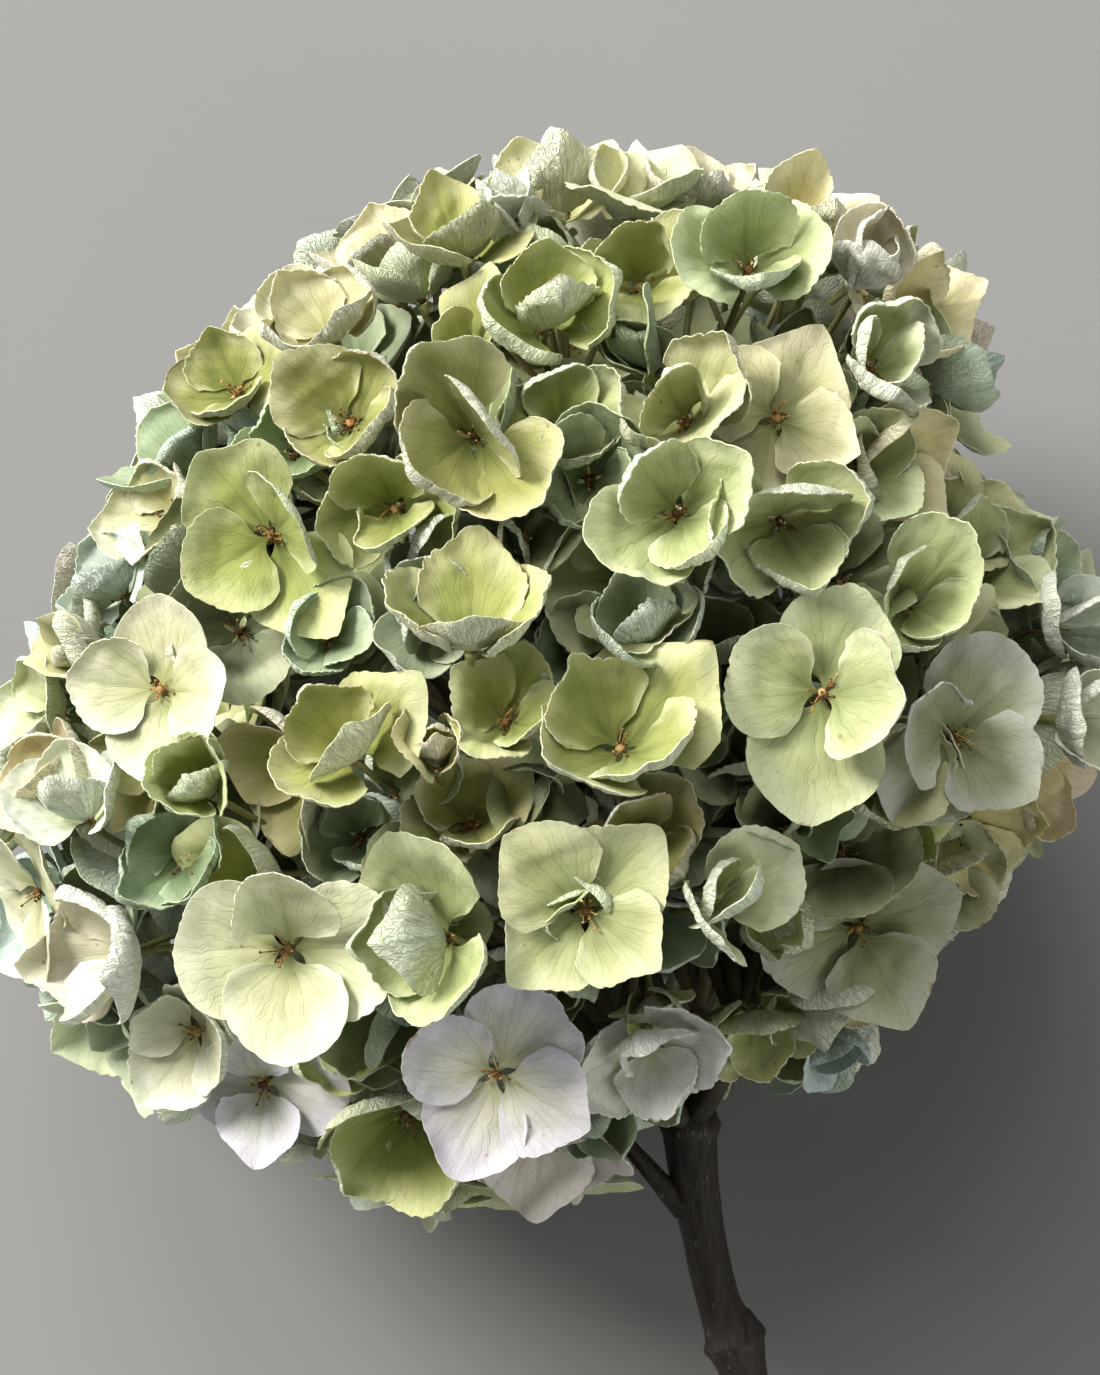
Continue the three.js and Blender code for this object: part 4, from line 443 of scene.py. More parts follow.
    (43, -24.77, 42.87, -31.3, -0.541, -0.01, -0.841, 33.6, 16.72, 'curl', 'teal', -1),
    (43, -48.03, 27.49, -19.94, -0.995, -0.095, -0.002, 64.8, 15.46, 'cup', 'green', -1),
    (44, 36.35, 45.41, -61.68, 0.273, 0.462, -0.844, 82.7, 17.52, 'curl', 'green', 0),
    (44, 47.96, 17.43, -65.17, 0.665, 0.249, -0.704, 59.5, 19.97, 'cup', 'green', 0),
    (44, 26.07, 22.27, -59.31, 0.396, -0.399, -0.827, 78.4, 14.45, 'cup', 'sage', 0),
    (44, 38.96, -0.97, -64.43, 0.7, 0.188, -0.689, 25.9, 14.39, 'cup', 'green', -1),
    (44, 31.44, 33.78, -60.06, 0.278, 0.29, -0.916, 52.0, 13.51, 'curl', 'teal', -1),
    (44, 22.56, 9.94, -67.71, 0.237, -0.176, -0.955, 27.2, 14.92, 'curl', 'sage', -1),
    (44, 32.2, 20.59, -38.38, 0.9, 0.23, -0.37, 17.9, 16.92, 'open', 'sage', -1),
    (44, 29.71, -1.79, -49.93, 0.624, -0.046, -0.78, 79.0, 15.92, 'cup', 'teal', -1),
    (45, -31.69, -45.09, -65.13, -0.463, -0.296, -0.835, 63.3, 16.84, 'open', 'green', 0),
    (45, -29.03, -18.95, -72.38, -0.271, -0.255, -0.928, 86.1, 18.16, 'cup', 'pale', 0),
    (45, -42.27, -62.21, -53.03, -0.5, -0.657, -0.564, 13.1, 19.95, 'curl', 'green', 0),
    (45, -12.69, -30.62, -58.45, -0.022, -0.38, -0.925, 31.7, 14.6, 'curl', 'green', 0),
    (45, -23.22, -46.02, -51.95, -0.664, -0.507, -0.549, 41.0, 14.5, 'curl', 'dark', -1),
    (45, -18.85, -61.03, -40.98, 0.117, -0.624, -0.772, 40.0, 14.87, 'curl', 'teal', -1),
    (45, -24.31, -30.25, -61.73, -0.434, -0.38, -0.817, 87.8, 15.74, 'curl', 'green', -1),
    (45, -7.7, -39.77, -65.32, -0.573, -0.268, -0.774, 41.7, 14.1, 'closed', 'teal', -1),
    (45, 8.08, -46.79, -55.57, 0.032, -0.578, -0.815, 43.2, 13.81, 'curl', 'green', -1),
    (45, -9.5, -45.76, -36.79, -0.031, -0.939, -0.342, 1.0, 15.82, 'open', 'sage', -1),
    (45, -3.69, -32.53, -47.21, 0.421, -0.354, -0.835, 67.7, 15.14, 'open', 'green', -1),
    (46, -0.57, -50.87, -66.0, -0.096, -0.231, -0.968, 32.6, 19.46, 'shell', 'green', 0),
    (46, 23.2, -66.76, -32.75, 0.549, -0.8, -0.241, 65.9, 19.91, 'cup', 'pale', 0),
    (46, 18.87, -60.07, -55.96, 0.449, -0.449, -0.772, 9.4, 17.71, 'shell', 'green', 0),
    (46, 21.14, -36.87, -69.59, -0.188, -0.345, -0.919, 6.0, 18.36, 'cup', 'sage', 0),
    (46, 26.6, -55.92, -28.13, 0.588, -0.604, -0.538, 84.3, 15.66, 'cup', 'green', -1),
    (46, 13.59, -35.32, -38.58, 0.075, -0.722, -0.687, 45.5, 16.91, 'curl', 'dark', -1),
    (47, -26.5, 40.92, -68.82, -0.089, 0.809, -0.581, 71.2, 19.52, 'cup', 'sage', 0),
    (47, -3.28, 35.65, -75.78, -0.324, 0.049, -0.945, 39.4, 17.14, 'cup', 'pale', 0),
    (47, -18.94, 58.26, -56.53, 0.176, 0.625, -0.761, 44.9, 16.71, 'curl', 'green', 0),
    (47, 6.72, 21.31, -67.51, -0.01, 0.608, -0.794, 61.0, 13.67, 'cup', 'teal', -1),
    (47, -5.72, 5.56, -71.03, -0.09, 0.308, -0.947, 53.1, 14.82, 'cup', 'dark', -1),
    (47, -21.16, 46.28, -54.69, -0.463, 0.148, -0.874, 30.9, 16.41, 'curl', 'teal', -1),
    (47, -16.42, 25.1, -65.65, 0.033, -0.363, -0.931, 55.0, 14.02, 'curl', 'teal', -1),
    (47, -9.9, 28.39, -49.65, -0.206, 0.143, -0.968, 34.5, 16.53, 'curl', 'teal', -1),
    (47, -25.18, 19.02, -51.34, -0.208, 0.493, -0.845, 31.6, 15.96, 'cup', 'teal', -1),
    (47, 2.59, 13.95, -52.13, 0.217, 0.373, -0.902, 21.4, 17.04, 'open', 'dark', -1),
    (48, -26.95, 15.18, -73.82, -0.459, 0.145, -0.877, 80.8, 18.7, 'closed', 'pale', 0),
    (48, -45.9, -3.47, -69.84, -0.549, 0.189, -0.814, 60.5, 19.76, 'cup', 'green', 0),
    (48, -67.53, 11.05, -56.56, -0.776, 0.107, -0.622, 50.5, 17.22, 'open', 'blue', 0),
    (48, -47.57, 17.19, -63.66, -0.266, 0.356, -0.896, 25.4, 19.9, 'cup', 'pale', 0),
    (48, -58.62, 1.53, -52.9, -0.733, -0.057, -0.678, 85.3, 15.68, 'curl', 'teal', -1),
    (48, -16.76, -9.75, -69.04, 0.647, -0.394, -0.653, 53.9, 14.29, 'curl', 'teal', -1),
    (48, -39.34, -12.68, -64.14, -0.769, -0.119, -0.628, 67.1, 16.8, 'curl', 'sage', -1),
    (48, -31.68, 4.03, -60.66, -0.39, -0.384, -0.837, 24.0, 15.15, 'curl', 'dark', -1),
    (48, -37.4, 5.04, -42.34, -0.769, 0.194, -0.609, 4.0, 16.34, 'open', 'dark', -1),
    (48, -22.75, -13.88, -50.91, -0.331, -0.373, -0.867, 20.4, 16.33, 'cup', 'green', -1),
    (48, -11.49, 2.9, -52.12, -0.389, 0.111, -0.915, 52.7, 17.9, 'open', 'green', -1),
    (48, -44.96, -15.79, -47.07, -0.699, -0.595, -0.398, 2.6, 15.15, 'cup', 'sage', -1),
    (49, 14.56, 17.55, -80.37, -0.187, -0.265, -0.946, 14.8, 16.8, 'cup', 'sage', 0),
    (49, 3.93, -24.7, -78.03, 0.23, -0.411, -0.882, 61.1, 19.61, 'cup', 'green', 0),
    (49, 18.77, -6.41, -77.97, -0.22, -0.241, -0.945, 49.0, 19.99, 'cup', 'pale', 0),
    (49, -9.43, -3.87, -78.87, -0.09, 0.063, -0.994, 1.7, 19.67, 'shell', 'pale', 0),
    (49, 8.41, -25.33, -62.68, 0.203, -0.834, -0.514, 59.3, 14.07, 'curl', 'green', -1),
    (49, 18.47, -9.42, -64.18, 0.483, -0.617, -0.622, 29.9, 14.65, 'cup', 'sage', -1),
    (49, -4.85, -15.85, -55.0, -0.428, -0.2, -0.881, 37.0, 17.21, 'cup', 'green', -1),
    (49, 20.69, -16.69, -47.49, 0.371, -0.273, -0.888, 22.3, 15.27, 'open', 'green', -1),
]
HUBS = [
    (16.61, -39.41, 46.31, 1),
    (-10.7, -26.8, 56.6, 1),
    (8.11, 18.86, 47.43, 5),
    (-2.05, -56.95, 44.17, 1),
    (30.06, -9.86, 46.77, 5),
    (-26.57, 7.17, 39.59, 0),
    (37.74, 26.21, 36.64, 5),
    (-36.54, -31.43, 42.78, 1),
    (54.14, -17.01, 36.42, 5),
    (3.05, 49.62, 32.13, 0),
    (25.06, 49.39, 30.98, 5),
    (-61.63, -32.12, 31.32, 3),
    (-46.74, -43.86, 30.36, 3),
    (-31.2, 30.45, 31.0, 0),
    (45.02, -44.68, 20.24, 5),
    (-24.25, -62.26, 20.25, 3),
    (64.42, -3.41, 12.41, 2),
    (21.41, -65.58, 22.55, 1),
    (39.31, 49.28, 19.73, 5),
    (-60.66, -9.46, 9.56, 3),
    (-46.12, 13.36, 2.6, 0),
    (53.52, -30.25, -1.14, 2),
    (-20.35, 48.2, 10.51, 0),
    (-41.24, 34.62, -1.51, 0),
    (42.35, -57.9, -8.96, 2),
    (-55.44, -43.14, 3.59, 3),
    (48.05, 20.76, 0.01, 2),
    (-25.71, -62.08, 4.47, 3),
    (41.41, -38.28, -10.93, 2),
    (33.99, 52.77, -6.81, 6),
    (-64.29, -17.89, -10.64, 3),
    (-1.97, -73.81, -4.26, 3),
    (69.8, -8.01, -5.22, 2),
    (49.11, 31.47, -25.06, 6),
    (-55.67, -0.7, -17.89, 4),
    (-0.72, -58.86, -22.65, 4),
    (-9.65, 50.86, -8.56, 0),
    (57.57, -3.27, -28.51, 2),
    (-41.99, -49.2, -20.86, 3),
    (10.19, 43.54, -36.68, 6),
    (38.73, -27.82, -37.02, 6),
    (37.03, -47.03, -19.19, 6),
    (-41.44, -33.89, -29.56, 4),
    (-34.76, 25.66, -34.53, 4),
    (27.03, 11.49, -39.25, 6),
    (-12.79, -39.53, -36.95, 4),
    (15.38, -51.88, -27.44, 4),
    (-10.25, 23.19, -47.26, 6),
    (-29.82, -3.84, -45.63, 4),
    (11.28, -12.42, -50.24, 6),
]
JUNCTIONS = [
    (5.45, -27.05, 11.36),
    (17.92, -75.88, 10.2),
    (33.11, -67.94, -5.42),
    (10.83, -75.67, -1.33),
    (13.12, -66.45, -14.23),
    (34.47, -61.29, 15.23),
    (29.33, -63.03, -23.27),
]
FORK = np.array([26.4, -83.5, -5.0])
STEM = [[26.4, -83.5, -5, 5.2], [27.4, -93, -5, 4.6], [29.2, -104, -5.1, 4.1], [32.2, -117, -5.3, 4.0], [35, -124, -5.5, 5.2], [37.6, -134, -5.8, 4.3], [41.5, -158, -6.4, 4.1], [45, -190, -7.4, 4.0], [48, -215, -8.4, 5.0], [50, -225, -8.7, 4.2], [53.5, -255, -9.9, 4.1], [57, -285, -11.2, 4.2]]
SPUR = [[25.5, -99, -4.5, 2.6], [21, -94, -3.5, 2.0], [16, -88, -2.5, 1.5], [11, -82, -2, 1.3]]

FORMS = {   # base angle, tip angle, margin roll, ruffle, crinkle, size
    'open':   dict(a0=4,  a1=20, roll=0.30, ruf=0.45, pleat=0.10, size=1.02),
    'cup':    dict(a0=20, a1=60, roll=1.25, ruf=0.50, pleat=0.22, size=1.10),
    'curl':   dict(a0=25, a1=68, roll=1.45, ruf=0.60, pleat=0.30, size=1.12),
    'shell':  dict(a0=28, a1=66, roll=0.70, ruf=0.45, pleat=0.34, size=1.08),
    'closed': dict(a0=50, a1=90, roll=1.00, ruf=0.50, pleat=0.30, size=1.02),
}
# sepals of particular florets that stand up or fold: floret key -> sepal: (raise, side roll, margin roll)
HINTS = {(-12.6, 42.1): {0: (52, 0, 0.7)}, (-47.4, 26.0): {0: (50, 0, 0.5)}, (45.7, -0.9): {3: (48, 0, 0.9)}, (-17.0, -42.2): {0: (60, 0, 0.5)}, (57.3, -44.7): {1: (62, 0, 0.8)}}


def lin(c):
    c = np.asarray(c, float) / 255.0
    return np.where(c <= 0.04045, c / 12.92, ((c + 0.055) / 1.055) ** 2.4)


COLOURS = {  # base of the sepal, middle, margin, back
    'green':   ((112, 120, 54), (163, 169, 98), (213, 214, 164), (233, 236, 208)),
    'sage':    ((130, 138, 80), (178, 183, 132), (220, 222, 182), (234, 237, 213)),
    'pale':    ((160, 164, 106), (205, 206, 167), (236, 235, 206), (242, 243, 226)),
    'yellow':  ((174, 164, 98), (215, 205, 157), (240, 232, 200), (238, 233, 206)),
    'cream':   ((186, 182, 136), (223, 217, 193), (244, 238, 222), (243, 241, 226)),
    'lav':     ((186, 184, 144), (215, 212, 205), (230, 224, 234), (236, 235, 232)),
    'greylav': ((122, 126, 78), (162, 168, 124), (200, 202, 176), (232, 232, 214)),
    'white':   ((198, 204, 166), (237, 238, 229), (246, 246, 242), (246, 246, 236)),
    'blue':    ((148, 162, 132), (189, 202, 191), (216, 225, 222), (224, 234, 228)),
    'teal':    ((98, 114, 76), (148, 162, 130), (194, 205, 174), (210, 223, 204)),
    # 'dark' is partly the darker olive of some dried florets and partly painted shade, given mostly to florets set
    # deep in the head
    'dark':    ((78, 86, 46), (125, 132, 88), (174, 180, 138), (192, 202, 172)),
}
COLOURS = {k: [lin(c) for c in v] for k, v in COLOURS.items()}


def smooth(a, b, x):
    t = np.clip((x - a) / (b - a), 0, 1)
    return t * t * (3 - 2 * t)


# ---------------------------------------------------------------- mesh pieces
class Soup:
    """collects parts of one mesh"""

    def __init__(self):
        self.v, self.col, self.sep, self.rnd = [], [], [], []
        self.loops, self.sizes, self.mat, self.uv = [], [], [], []
        self.n = 0
        self.sharp = []

    def add(self, v, col, sep, rnd, faces4, faces3, uv4, uv3, mat, border=None):
        m = len(v)
        self.v.append(v)
        self.col.append(np.broadcast_to(col, (m, 3)))
        self.sep.append(np.broadcast_to(sep, (m, 3)))
        self.rnd.append(np.full(m, rnd))
        if len(faces4):
            self.loops.append((faces4 + self.n).ravel())
            self.sizes.append(np.full(len(faces4), 4))
            self.uv.append(uv4.reshape(-1, 2))
            self.mat.append(np.full(len(faces4), mat))
        if len(faces3):
            self.loops.append((faces3 + self.n).ravel())
            self.sizes.append(np.full(len(faces3), 3))
            self.uv.append(uv3.reshape(-1, 2))
            self.mat.append(np.full(len(faces3), mat))
        b = np.zeros(m, bool)
        if border is not None:
            b[border] = True
        self.sharp.append(b)
        self.n += m

    def build(self, name, mats):
        v = np.concatenate(self.v)
        loops = np.concatenate(self.loops).astype(np.int32)
        sizes = np.concatenate(self.sizes).astype(np.int32)
        starts = np.concatenate([[0], np.cumsum(sizes)[:-1]]).astype(np.int32)
        me = bpy.data.meshes.new(name)
        me.vertices.add(len(v))
        me.vertices.foreach_set('co', v.astype(np.float32).ravel())
        me.loops.add(len(loops))
        me.loops.foreach_set('vertex_index', loops)
        me.polygons.add(len(sizes))
        me.polygons.foreach_set('loop_start', starts)
        me.polygons.foreach_set('material_index', np.concatenate(self.mat).astype(np.int32))
        me.polygons.foreach_set('use_smooth', np.ones(len(sizes), bool))
        for m in mats:
            me.materials.append(m)
        uvl = me.uv_layers.new(name='OFBake')
        uvl.data.foreach_set('uv', np.concatenate(self.uv).astype(np.float32).ravel())
        c = me.attributes.new('col', 'FLOAT_COLOR', 'POINT')
        cc = np.concatenate(self.col)
        c.data.foreach_set('color', np.hstack([cc, np.ones((len(cc), 1))]).astype(np.float32).ravel())
        s = me.attributes.new('sep', 'FLOAT_VECTOR', 'POINT')
        s.data.foreach_set('vector', np.concatenate(self.sep).astype(np.float32).ravel())
        r = me.attributes.new('rnd', 'FLOAT', 'POINT')
        r.data.foreach_set('value', np.concatenate(self.rnd).astype(np.float32))
        me.update(calc_edges=True)
        b = np.concatenate(self.sharp)
        if b.any():
            e = np.empty(len(me.edges) * 2, np.int32)
            me.edges.foreach_get('vertices', e)
            e = e.reshape(-1, 2)
            side = np.concatenate(self.sep)[:, 2] > 0.5
            sh = b[e[:, 0]] & b[e[:, 1]] & (side[e[:, 0]] == side[e[:, 1]])
            a = me.attributes.new('sharp_edge', 'BOOLEAN', 'EDGE')
            a.data.foreach_set('value', sh)
        me.validate()
        ob = bpy.data.objects.new(name, me)
        bpy.context.scene.collection.objects.link(ob)
        return ob


_topo = {}


def topo(M, N):
    if (M, N) in _topo:
        return _topo[(M, N)]
    idx = np.arange(M * N).reshape(M, N)
    a, b, c, d = idx[:-1, :-1], idx[:-1, 1:], idx[1:, 1:], idx[1:, :-1]
    face = np.stack([a, b, c, d], -1).reshape(-1, 4)
    back = (face[:, ::-1]) + M * N
    # border loop, anticlockwise seen from the face side
    loop = list(idx[0, :]) + list(idx[1:, -1]) + list(idx[-1, -2::-1]) + list(idx[-2:0:-1, 0])
    loop = np.array(loop)
    nx = np.roll(loop, -1)
    rim = np.stack([nx, loop, loop + M * N, nx + M * N], -1)
    fi, ui = np.meshgrid(np.linspace(0, 1, M), np.linspace(0, 1, N), indexing='ij')
    uv = np.stack([fi, ui], -1).reshape(-1, 2)
    border = np.concatenate([loop, loop + M * N])
    _topo[(M, N)] = (face, back, rim, uv, border, fi, ui)
    return _topo[(M, N)]


def chart(n, total):
    c = int(math.ceil(math.sqrt(total)))
    s = 1.0 / c
    pad = s * 0.04
    return np.array([(n % c) * s + pad, (n // c) * s + pad]), s - 2 * pad


def basis(n):
    """smallest turn that takes +z to n, as columns"""
    n = n / np.linalg.norm(n)
    z = np.array([0, 0, 1.0])
    v = np.cross(z, n)
    c = n[2]
    if c < -0.9999:
        return np.diag([1.0, -1.0, -1.0])
    K = np.array([[0, -v[2], v[1]], [v[2], 0, -v[0]], [-v[1], v[0], 0]])
    return np.eye(3) + K + K @ K / (1 + c)


def bend(w, z, w0, rad, cap, sgn):
    """roll what lies beyond w0 about a line, by a bend of the given radius"""
    d = np.maximum(w - w0, 0)
    ang = np.minimum(d / rad, cap)
    rest = d - ang * rad
    w2 = np.where(d > 0, w0 + rad * np.sin(ang) + rest * np.cos(ang), w) - sgn * z * np.sin(ang)
    z2 = z * np.cos(ang) + sgn * (rad * (1 - np.cos(ang)) + rest * np.sin(ang))
    return w2, z2


def sepal(rng, R, a0, a1, turn, layer, f, M, N, roll_side, mroll, wide, colour, blush, point, fold, wrap, rhomb):
    face, back, rim, uv, border, fi, ui = topo(M, N)
    pn = (fi * 2 - 1)
    u = ui ** 0.90
    # outline, as the distance from the claw along each direction
    g = 1 - 0.50 * np.abs(pn) ** 2.5 - 0.05 * (1 - np.abs(pn))
    pa = np.radians(np.abs(pn) * 61)
    dia = np.where(pa < math.radians(43), 1 / (np.cos(pa) + 0.80 * np.sin(pa)), 0.79 - 0.62 * (pa - math.radians(43)) ** 1.3)
    g = g * (1 - rhomb) + (dia * 1.04) * rhomb
    g = g + point * (np.exp(-(pn / 0.20) ** 2) - 0.15)
    for k in (1, 2, 3):
        g = g + rng.normal(0, 0.022 / k) * np.cos(k * math.pi * pn + rng.uniform(0, 6.28))
    teeth = rng.integers(12, 18)
    ph = rng.uniform(0, 6.28)
    tph = pn * teeth * math.pi / 2 + ph + 0.6 * np.sin(pn * 4 + ph)
    scallop = np.abs(np.sin(tph)) ** 0.7
    amp = (rng.uniform(0.004, 0.010) + 0.065 * f['pleat'] * rng.uniform(0.4, 1.3)) * (0.65 + 0.35 * np.sin(pn * 5 + 2 * ph))
    g = g + amp * (scallop - 0.7) * smooth(0.60, 1, u)
    r0 = 0.9
    rho = r0 + u * (R * g - r0)
    c = 0.22 + 0.78 * smooth(0.0, 0.34, rho / R)
    phi = math.radians(62) * wide * pn * c
    x, y = rho * np.cos(phi), rho * np.sin(phi)
    # relief of the face: broad, soft waves
    z = np.zeros_like(x)
    for _ in range(4):
        wl = rng.uniform(6.0, 13.0)
        an = rng.uniform(0, 6.28)
        z += 0.16 * np.sin((x * math.cos(an) + y * math.sin(an)) * 6.283 / wl + rng.uniform(0, 6.28)) * smooth(0.1, 0.6, u)
    for _ in range(4):
        wl = rng.uniform(2.6, 4.2)
        an = rng.uniform(0, 6.28)
        z += (0.025 + 0.08 * f['pleat']) * np.sin((x * math.cos(an) + y * math.sin(an)) * 6.283 / wl + rng.uniform(0, 6.28)) * smooth(0.1, 0.6, u)
    kr = rng.uniform(1.2, 2.4)
    z += f['ruf'] * rng.uniform(0.5, 1.3) * u ** 3.2 * np.sin(pn * math.pi * kr + rng.uniform(0, 6.28))
    z += rng.normal(0, 0.6) * (u ** 2) * pn
    z -= 0.25 * np.exp(-(y / 0.6) ** 2) * (1 - u) * smooth(0.05, 0.3, u)
    z += fold * np.abs(y) * smooth(0.1, 0.5, u)
    hw = R * 0.62 * wide
    if roll_side:
        s = np.sign(roll_side)
        yy, z = bend(s * y, z, hw * rng.uniform(0.30, 0.55), rng.uniform(2.2, 4.0), math.radians(abs(roll_side)), 1)
        y = s * yy
    # wrap on the floret's bowl: the meridian is summed outwards from the claw
    rr = np.hypot(x, y)
    th = np.arctan2(y, x)
    al = a0 + (a1 - a0) * np.minimum(rho / R, 1.15)
    band = 0.55 + 0.45 * np.sin(pn * rng.uniform(1.5, 3.5) + rng.uniform(0, 6.28))
    al = al + mroll * (0.35 + 0.65 * band) * smooth(0.70, 0.98, u) + 0.25 * smooth(0.85, 1, u) * rng.uniform(-0.6, 1.0)
    al = al + 0.9 * amp * 10 * (0.5 - scallop) * smooth(0.8, 1, u)
    am = al.copy()
    am[:, 1:] = (al[:, 1:] + al[:, :-1]) / 2
    dr = np.diff(rr, axis=1, prepend=0)
    br = np.cumsum(np.cos(am) * dr, axis=1)
    bz = np.cumsum(np.sin(am) * dr, axis=1)
    dx = np.diff(x, axis=1, prepend=0)
    px = np.cumsum(np.cos(am) * dx, axis=1)
    pz = np.cumsum(np.sin(am) * dx, axis=1)
    cone = a0 + (a1 - a0) * 0.6
    th2 = th * (1 + 0.30 * (1 / max(math.cos(min(cone, 1.2)), 0.35) - 1))
    ca, sa = np.cos(al), np.sin(al)
    off = z + layer * (0.30 + 0.55 * smooth(0, 0.5, rr / R))
    # one wrapped round the bowl, one as a sheet that bends along its midrib only
    Xc = br * np.cos(th2) - off * sa * np.cos(th2)
    Yc = br * np.sin(th2) - off * sa * np.sin(th2)
    Zc = bz + off * ca
    Xs = px - off * sa
    Ys = y
    Zs = pz + off * ca + 0.22 * (y / R) ** 2 * R * np.cos(cone)
    Xl = Xc * wrap + Xs * (1 - wrap)
    Yl = Yc * wrap + Ys * (1 - wrap)
    Z = Zc * wrap + Zs * (1 - wrap)
    ct, st = math.cos(turn), math.sin(turn)
    X = Xl * ct - Yl * st
    Y = Xl * st + Yl * ct
    P = np.stack([X, Y, Z], -1)
    du = np.gradient(P, axis=1)
    dp = np.gradient(P, axis=0)
    nn = np.cross(du, dp)
    nn /= np.linalg.norm(nn, axis=-1, keepdims=True) + 1e-9
    t = 0.26 - 0.10 * u
    # the back is quilted between its ribs and puffs out at each scallop
    rib = np.abs(np.sin(tph)) ** 0.8
    cross = 0.5 + 0.5 * np.sin(u * 17 + 1.5 * np.sin(tph * 0.5) + ph)
    quilt = (0.10 + 0.55 * f['pleat']) * rib * (0.55 + 0.45 * cross) * smooth(0.25, 0.75, u) * (1 - 0.6 * smooth(0.97, 1, u))
    top = (P + nn * (t / 2)[..., None]).reshape(-1, 3)
    bot = (P - nn * (t / 2 + quilt * 0.9)[..., None]).reshape(-1, 3)
    # colour
    cb, cm, ce, cback = colour
    e = np.maximum(u, np.abs(pn) ** 1.5 * smooth(0.15, 0.6, u))
    wob = 0.05 * np.sin(pn * 7 + ph) + 0.04 * np.sin(pn * 13 + 2 * ph)
    k1 = smooth(0.02, 0.50, u + wob)[..., None]
    k2 = smooth(0.52, 1.04, e + wob)[..., None]
    cf = (cb * (1 - k1) + cm * k1) * (1 - k2) + ce * k2
    line = smooth(0.975, 1.0, e)[..., None]
    cf = cf * (1 - 0.5 * line) + ce * 1.08 * 0.5 * line
    bl = blush[0] * smooth(0.35, 1.0, e)[..., None] * (0.6 + 0.4 * np.sin(pn * 3 + ph))[..., None]
    cf = cf * (1 - bl) + blush[1] * bl
    kb = smooth(0.0, 0.7, u)[..., None]
    cbk = cback * (0.84 + 0.16 * kb) * (1 - 0.35 * (1 - kb)) + cm * 0.35 * (1 - kb) * 0.9
    bb = np.clip(blush[2] * (0.5 + 0.5 * np.sin(pn * 4 + 3 * u + ph)), 0, 1)[..., None] * (1 - 0.5 * kb)
    cbk = cbk * (1 - bb) + blush[3] * bb
    # painted shade: the back is darker in the creases between its ribs
    cbk = cbk * (0.90 + 0.10 * rib * smooth(0.2, 0.6, u) + 0.10 * (1 - smooth(0.2, 0.6, u)))[..., None]
    tone = rng.normal(1, 0.035)
    col = np.concatenate([cf.reshape(-1, 3), cbk.reshape(-1, 3)]) * tone
    s0 = np.stack([pn, u, np.zeros_like(u)], -1).reshape(-1, 3)
    s1 = s0.copy()
    s1[:, 2] = 1
    return np.concatenate([top, bot]), col, np.concatenate([s0, s1])


def tube(path, rad, sides, closed_tip=True):
    """closed tube through path (n,3) with radii (n,), returns verts, quads, tris"""
    path = np.asarray(path, float)
    n = len(path)
    tg = np.gradient(path, axis=0)
    tg /= np.linalg.norm(tg, axis=1, keepdims=True) + 1e-12
    up = np.array([0.31, 0.87, 0.38])
    s = np.cross(tg[0], up)
    s /= np.linalg.norm(s)
    S, Tt = [], []
    for i in range(n):
        s = s - tg[i] * (s @ tg[i])
        s /= np.linalg.norm(s)
        S.append(s)
        Tt.append(np.cross(tg[i], s))
    S, Tt = np.array(S), np.array(Tt)
    a = np.arange(sides) / sides * 2 * math.pi
    rad = np.asarray(rad, float)
    if rad.ndim == 1:
        rad = rad[:, None]
    v = path[:, None] + rad[..., None] * (np.cos(a)[None, :, None] * S[:, None] + np.sin(a)[None, :, None] * Tt[:, None])
    idx = np.arange(n * sides).reshape(n, sides)
    nx = np.roll(idx, -1, axis=1)
    quads = np.stack([idx[:-1], nx[:-1], nx[1:], idx[1:]], -1).reshape(-1, 4)
    verts = np.concatenate([v.reshape(-1, 3), path[:1], path[-1:]])
    c0, c1 = n * sides, n * sides + 1
    t0 = np.stack([np.full(sides, c0), nx[0], idx[0]], -1)
    t1 = np.stack([np.full(sides, c1), idx[-1], nx[-1]], -1)
    tris = np.concatenate([t0, t1])
    ii, jj = np.meshgrid(np.linspace(0, 1, n), np.linspace(0, 1, sides), indexing='ij')
    uvv = np.concatenate([np.stack([jj, ii], -1).reshape(-1, 2), [[0.5, 0.0], [0.5, 1.0]]])
    return verts, quads, tris, uvv, a


def add_tube(soup, path, rad, sides, col, rnd, mat, org, size):
    v, q, t, uvv, a = tube(path, rad, sides)
    n = len(path)
    col = np.asarray(col, float)
    if col.ndim == 2:
        cc = np.repeat(col, sides, axis=0)
        cc = np.concatenate([cc, col[:1], col[-1:]])
    else:
        cc = np.broadcast_to(col, (len(v), 3))
    ii = np.concatenate([np.repeat(np.linspace(0, 1, n), sides), [0, 1]])
    jj = np.concatenate([np.tile(np.linspace(0, 1, sides), n), [0, 0]])
    sep = np.stack([jj, ii, np.zeros(len(v))], -1)
    uv = org + uvv * size
    soup.add(to_row(v), cc, sep, rnd, q, t, uv[q], uv[t], mat)


_ico = None


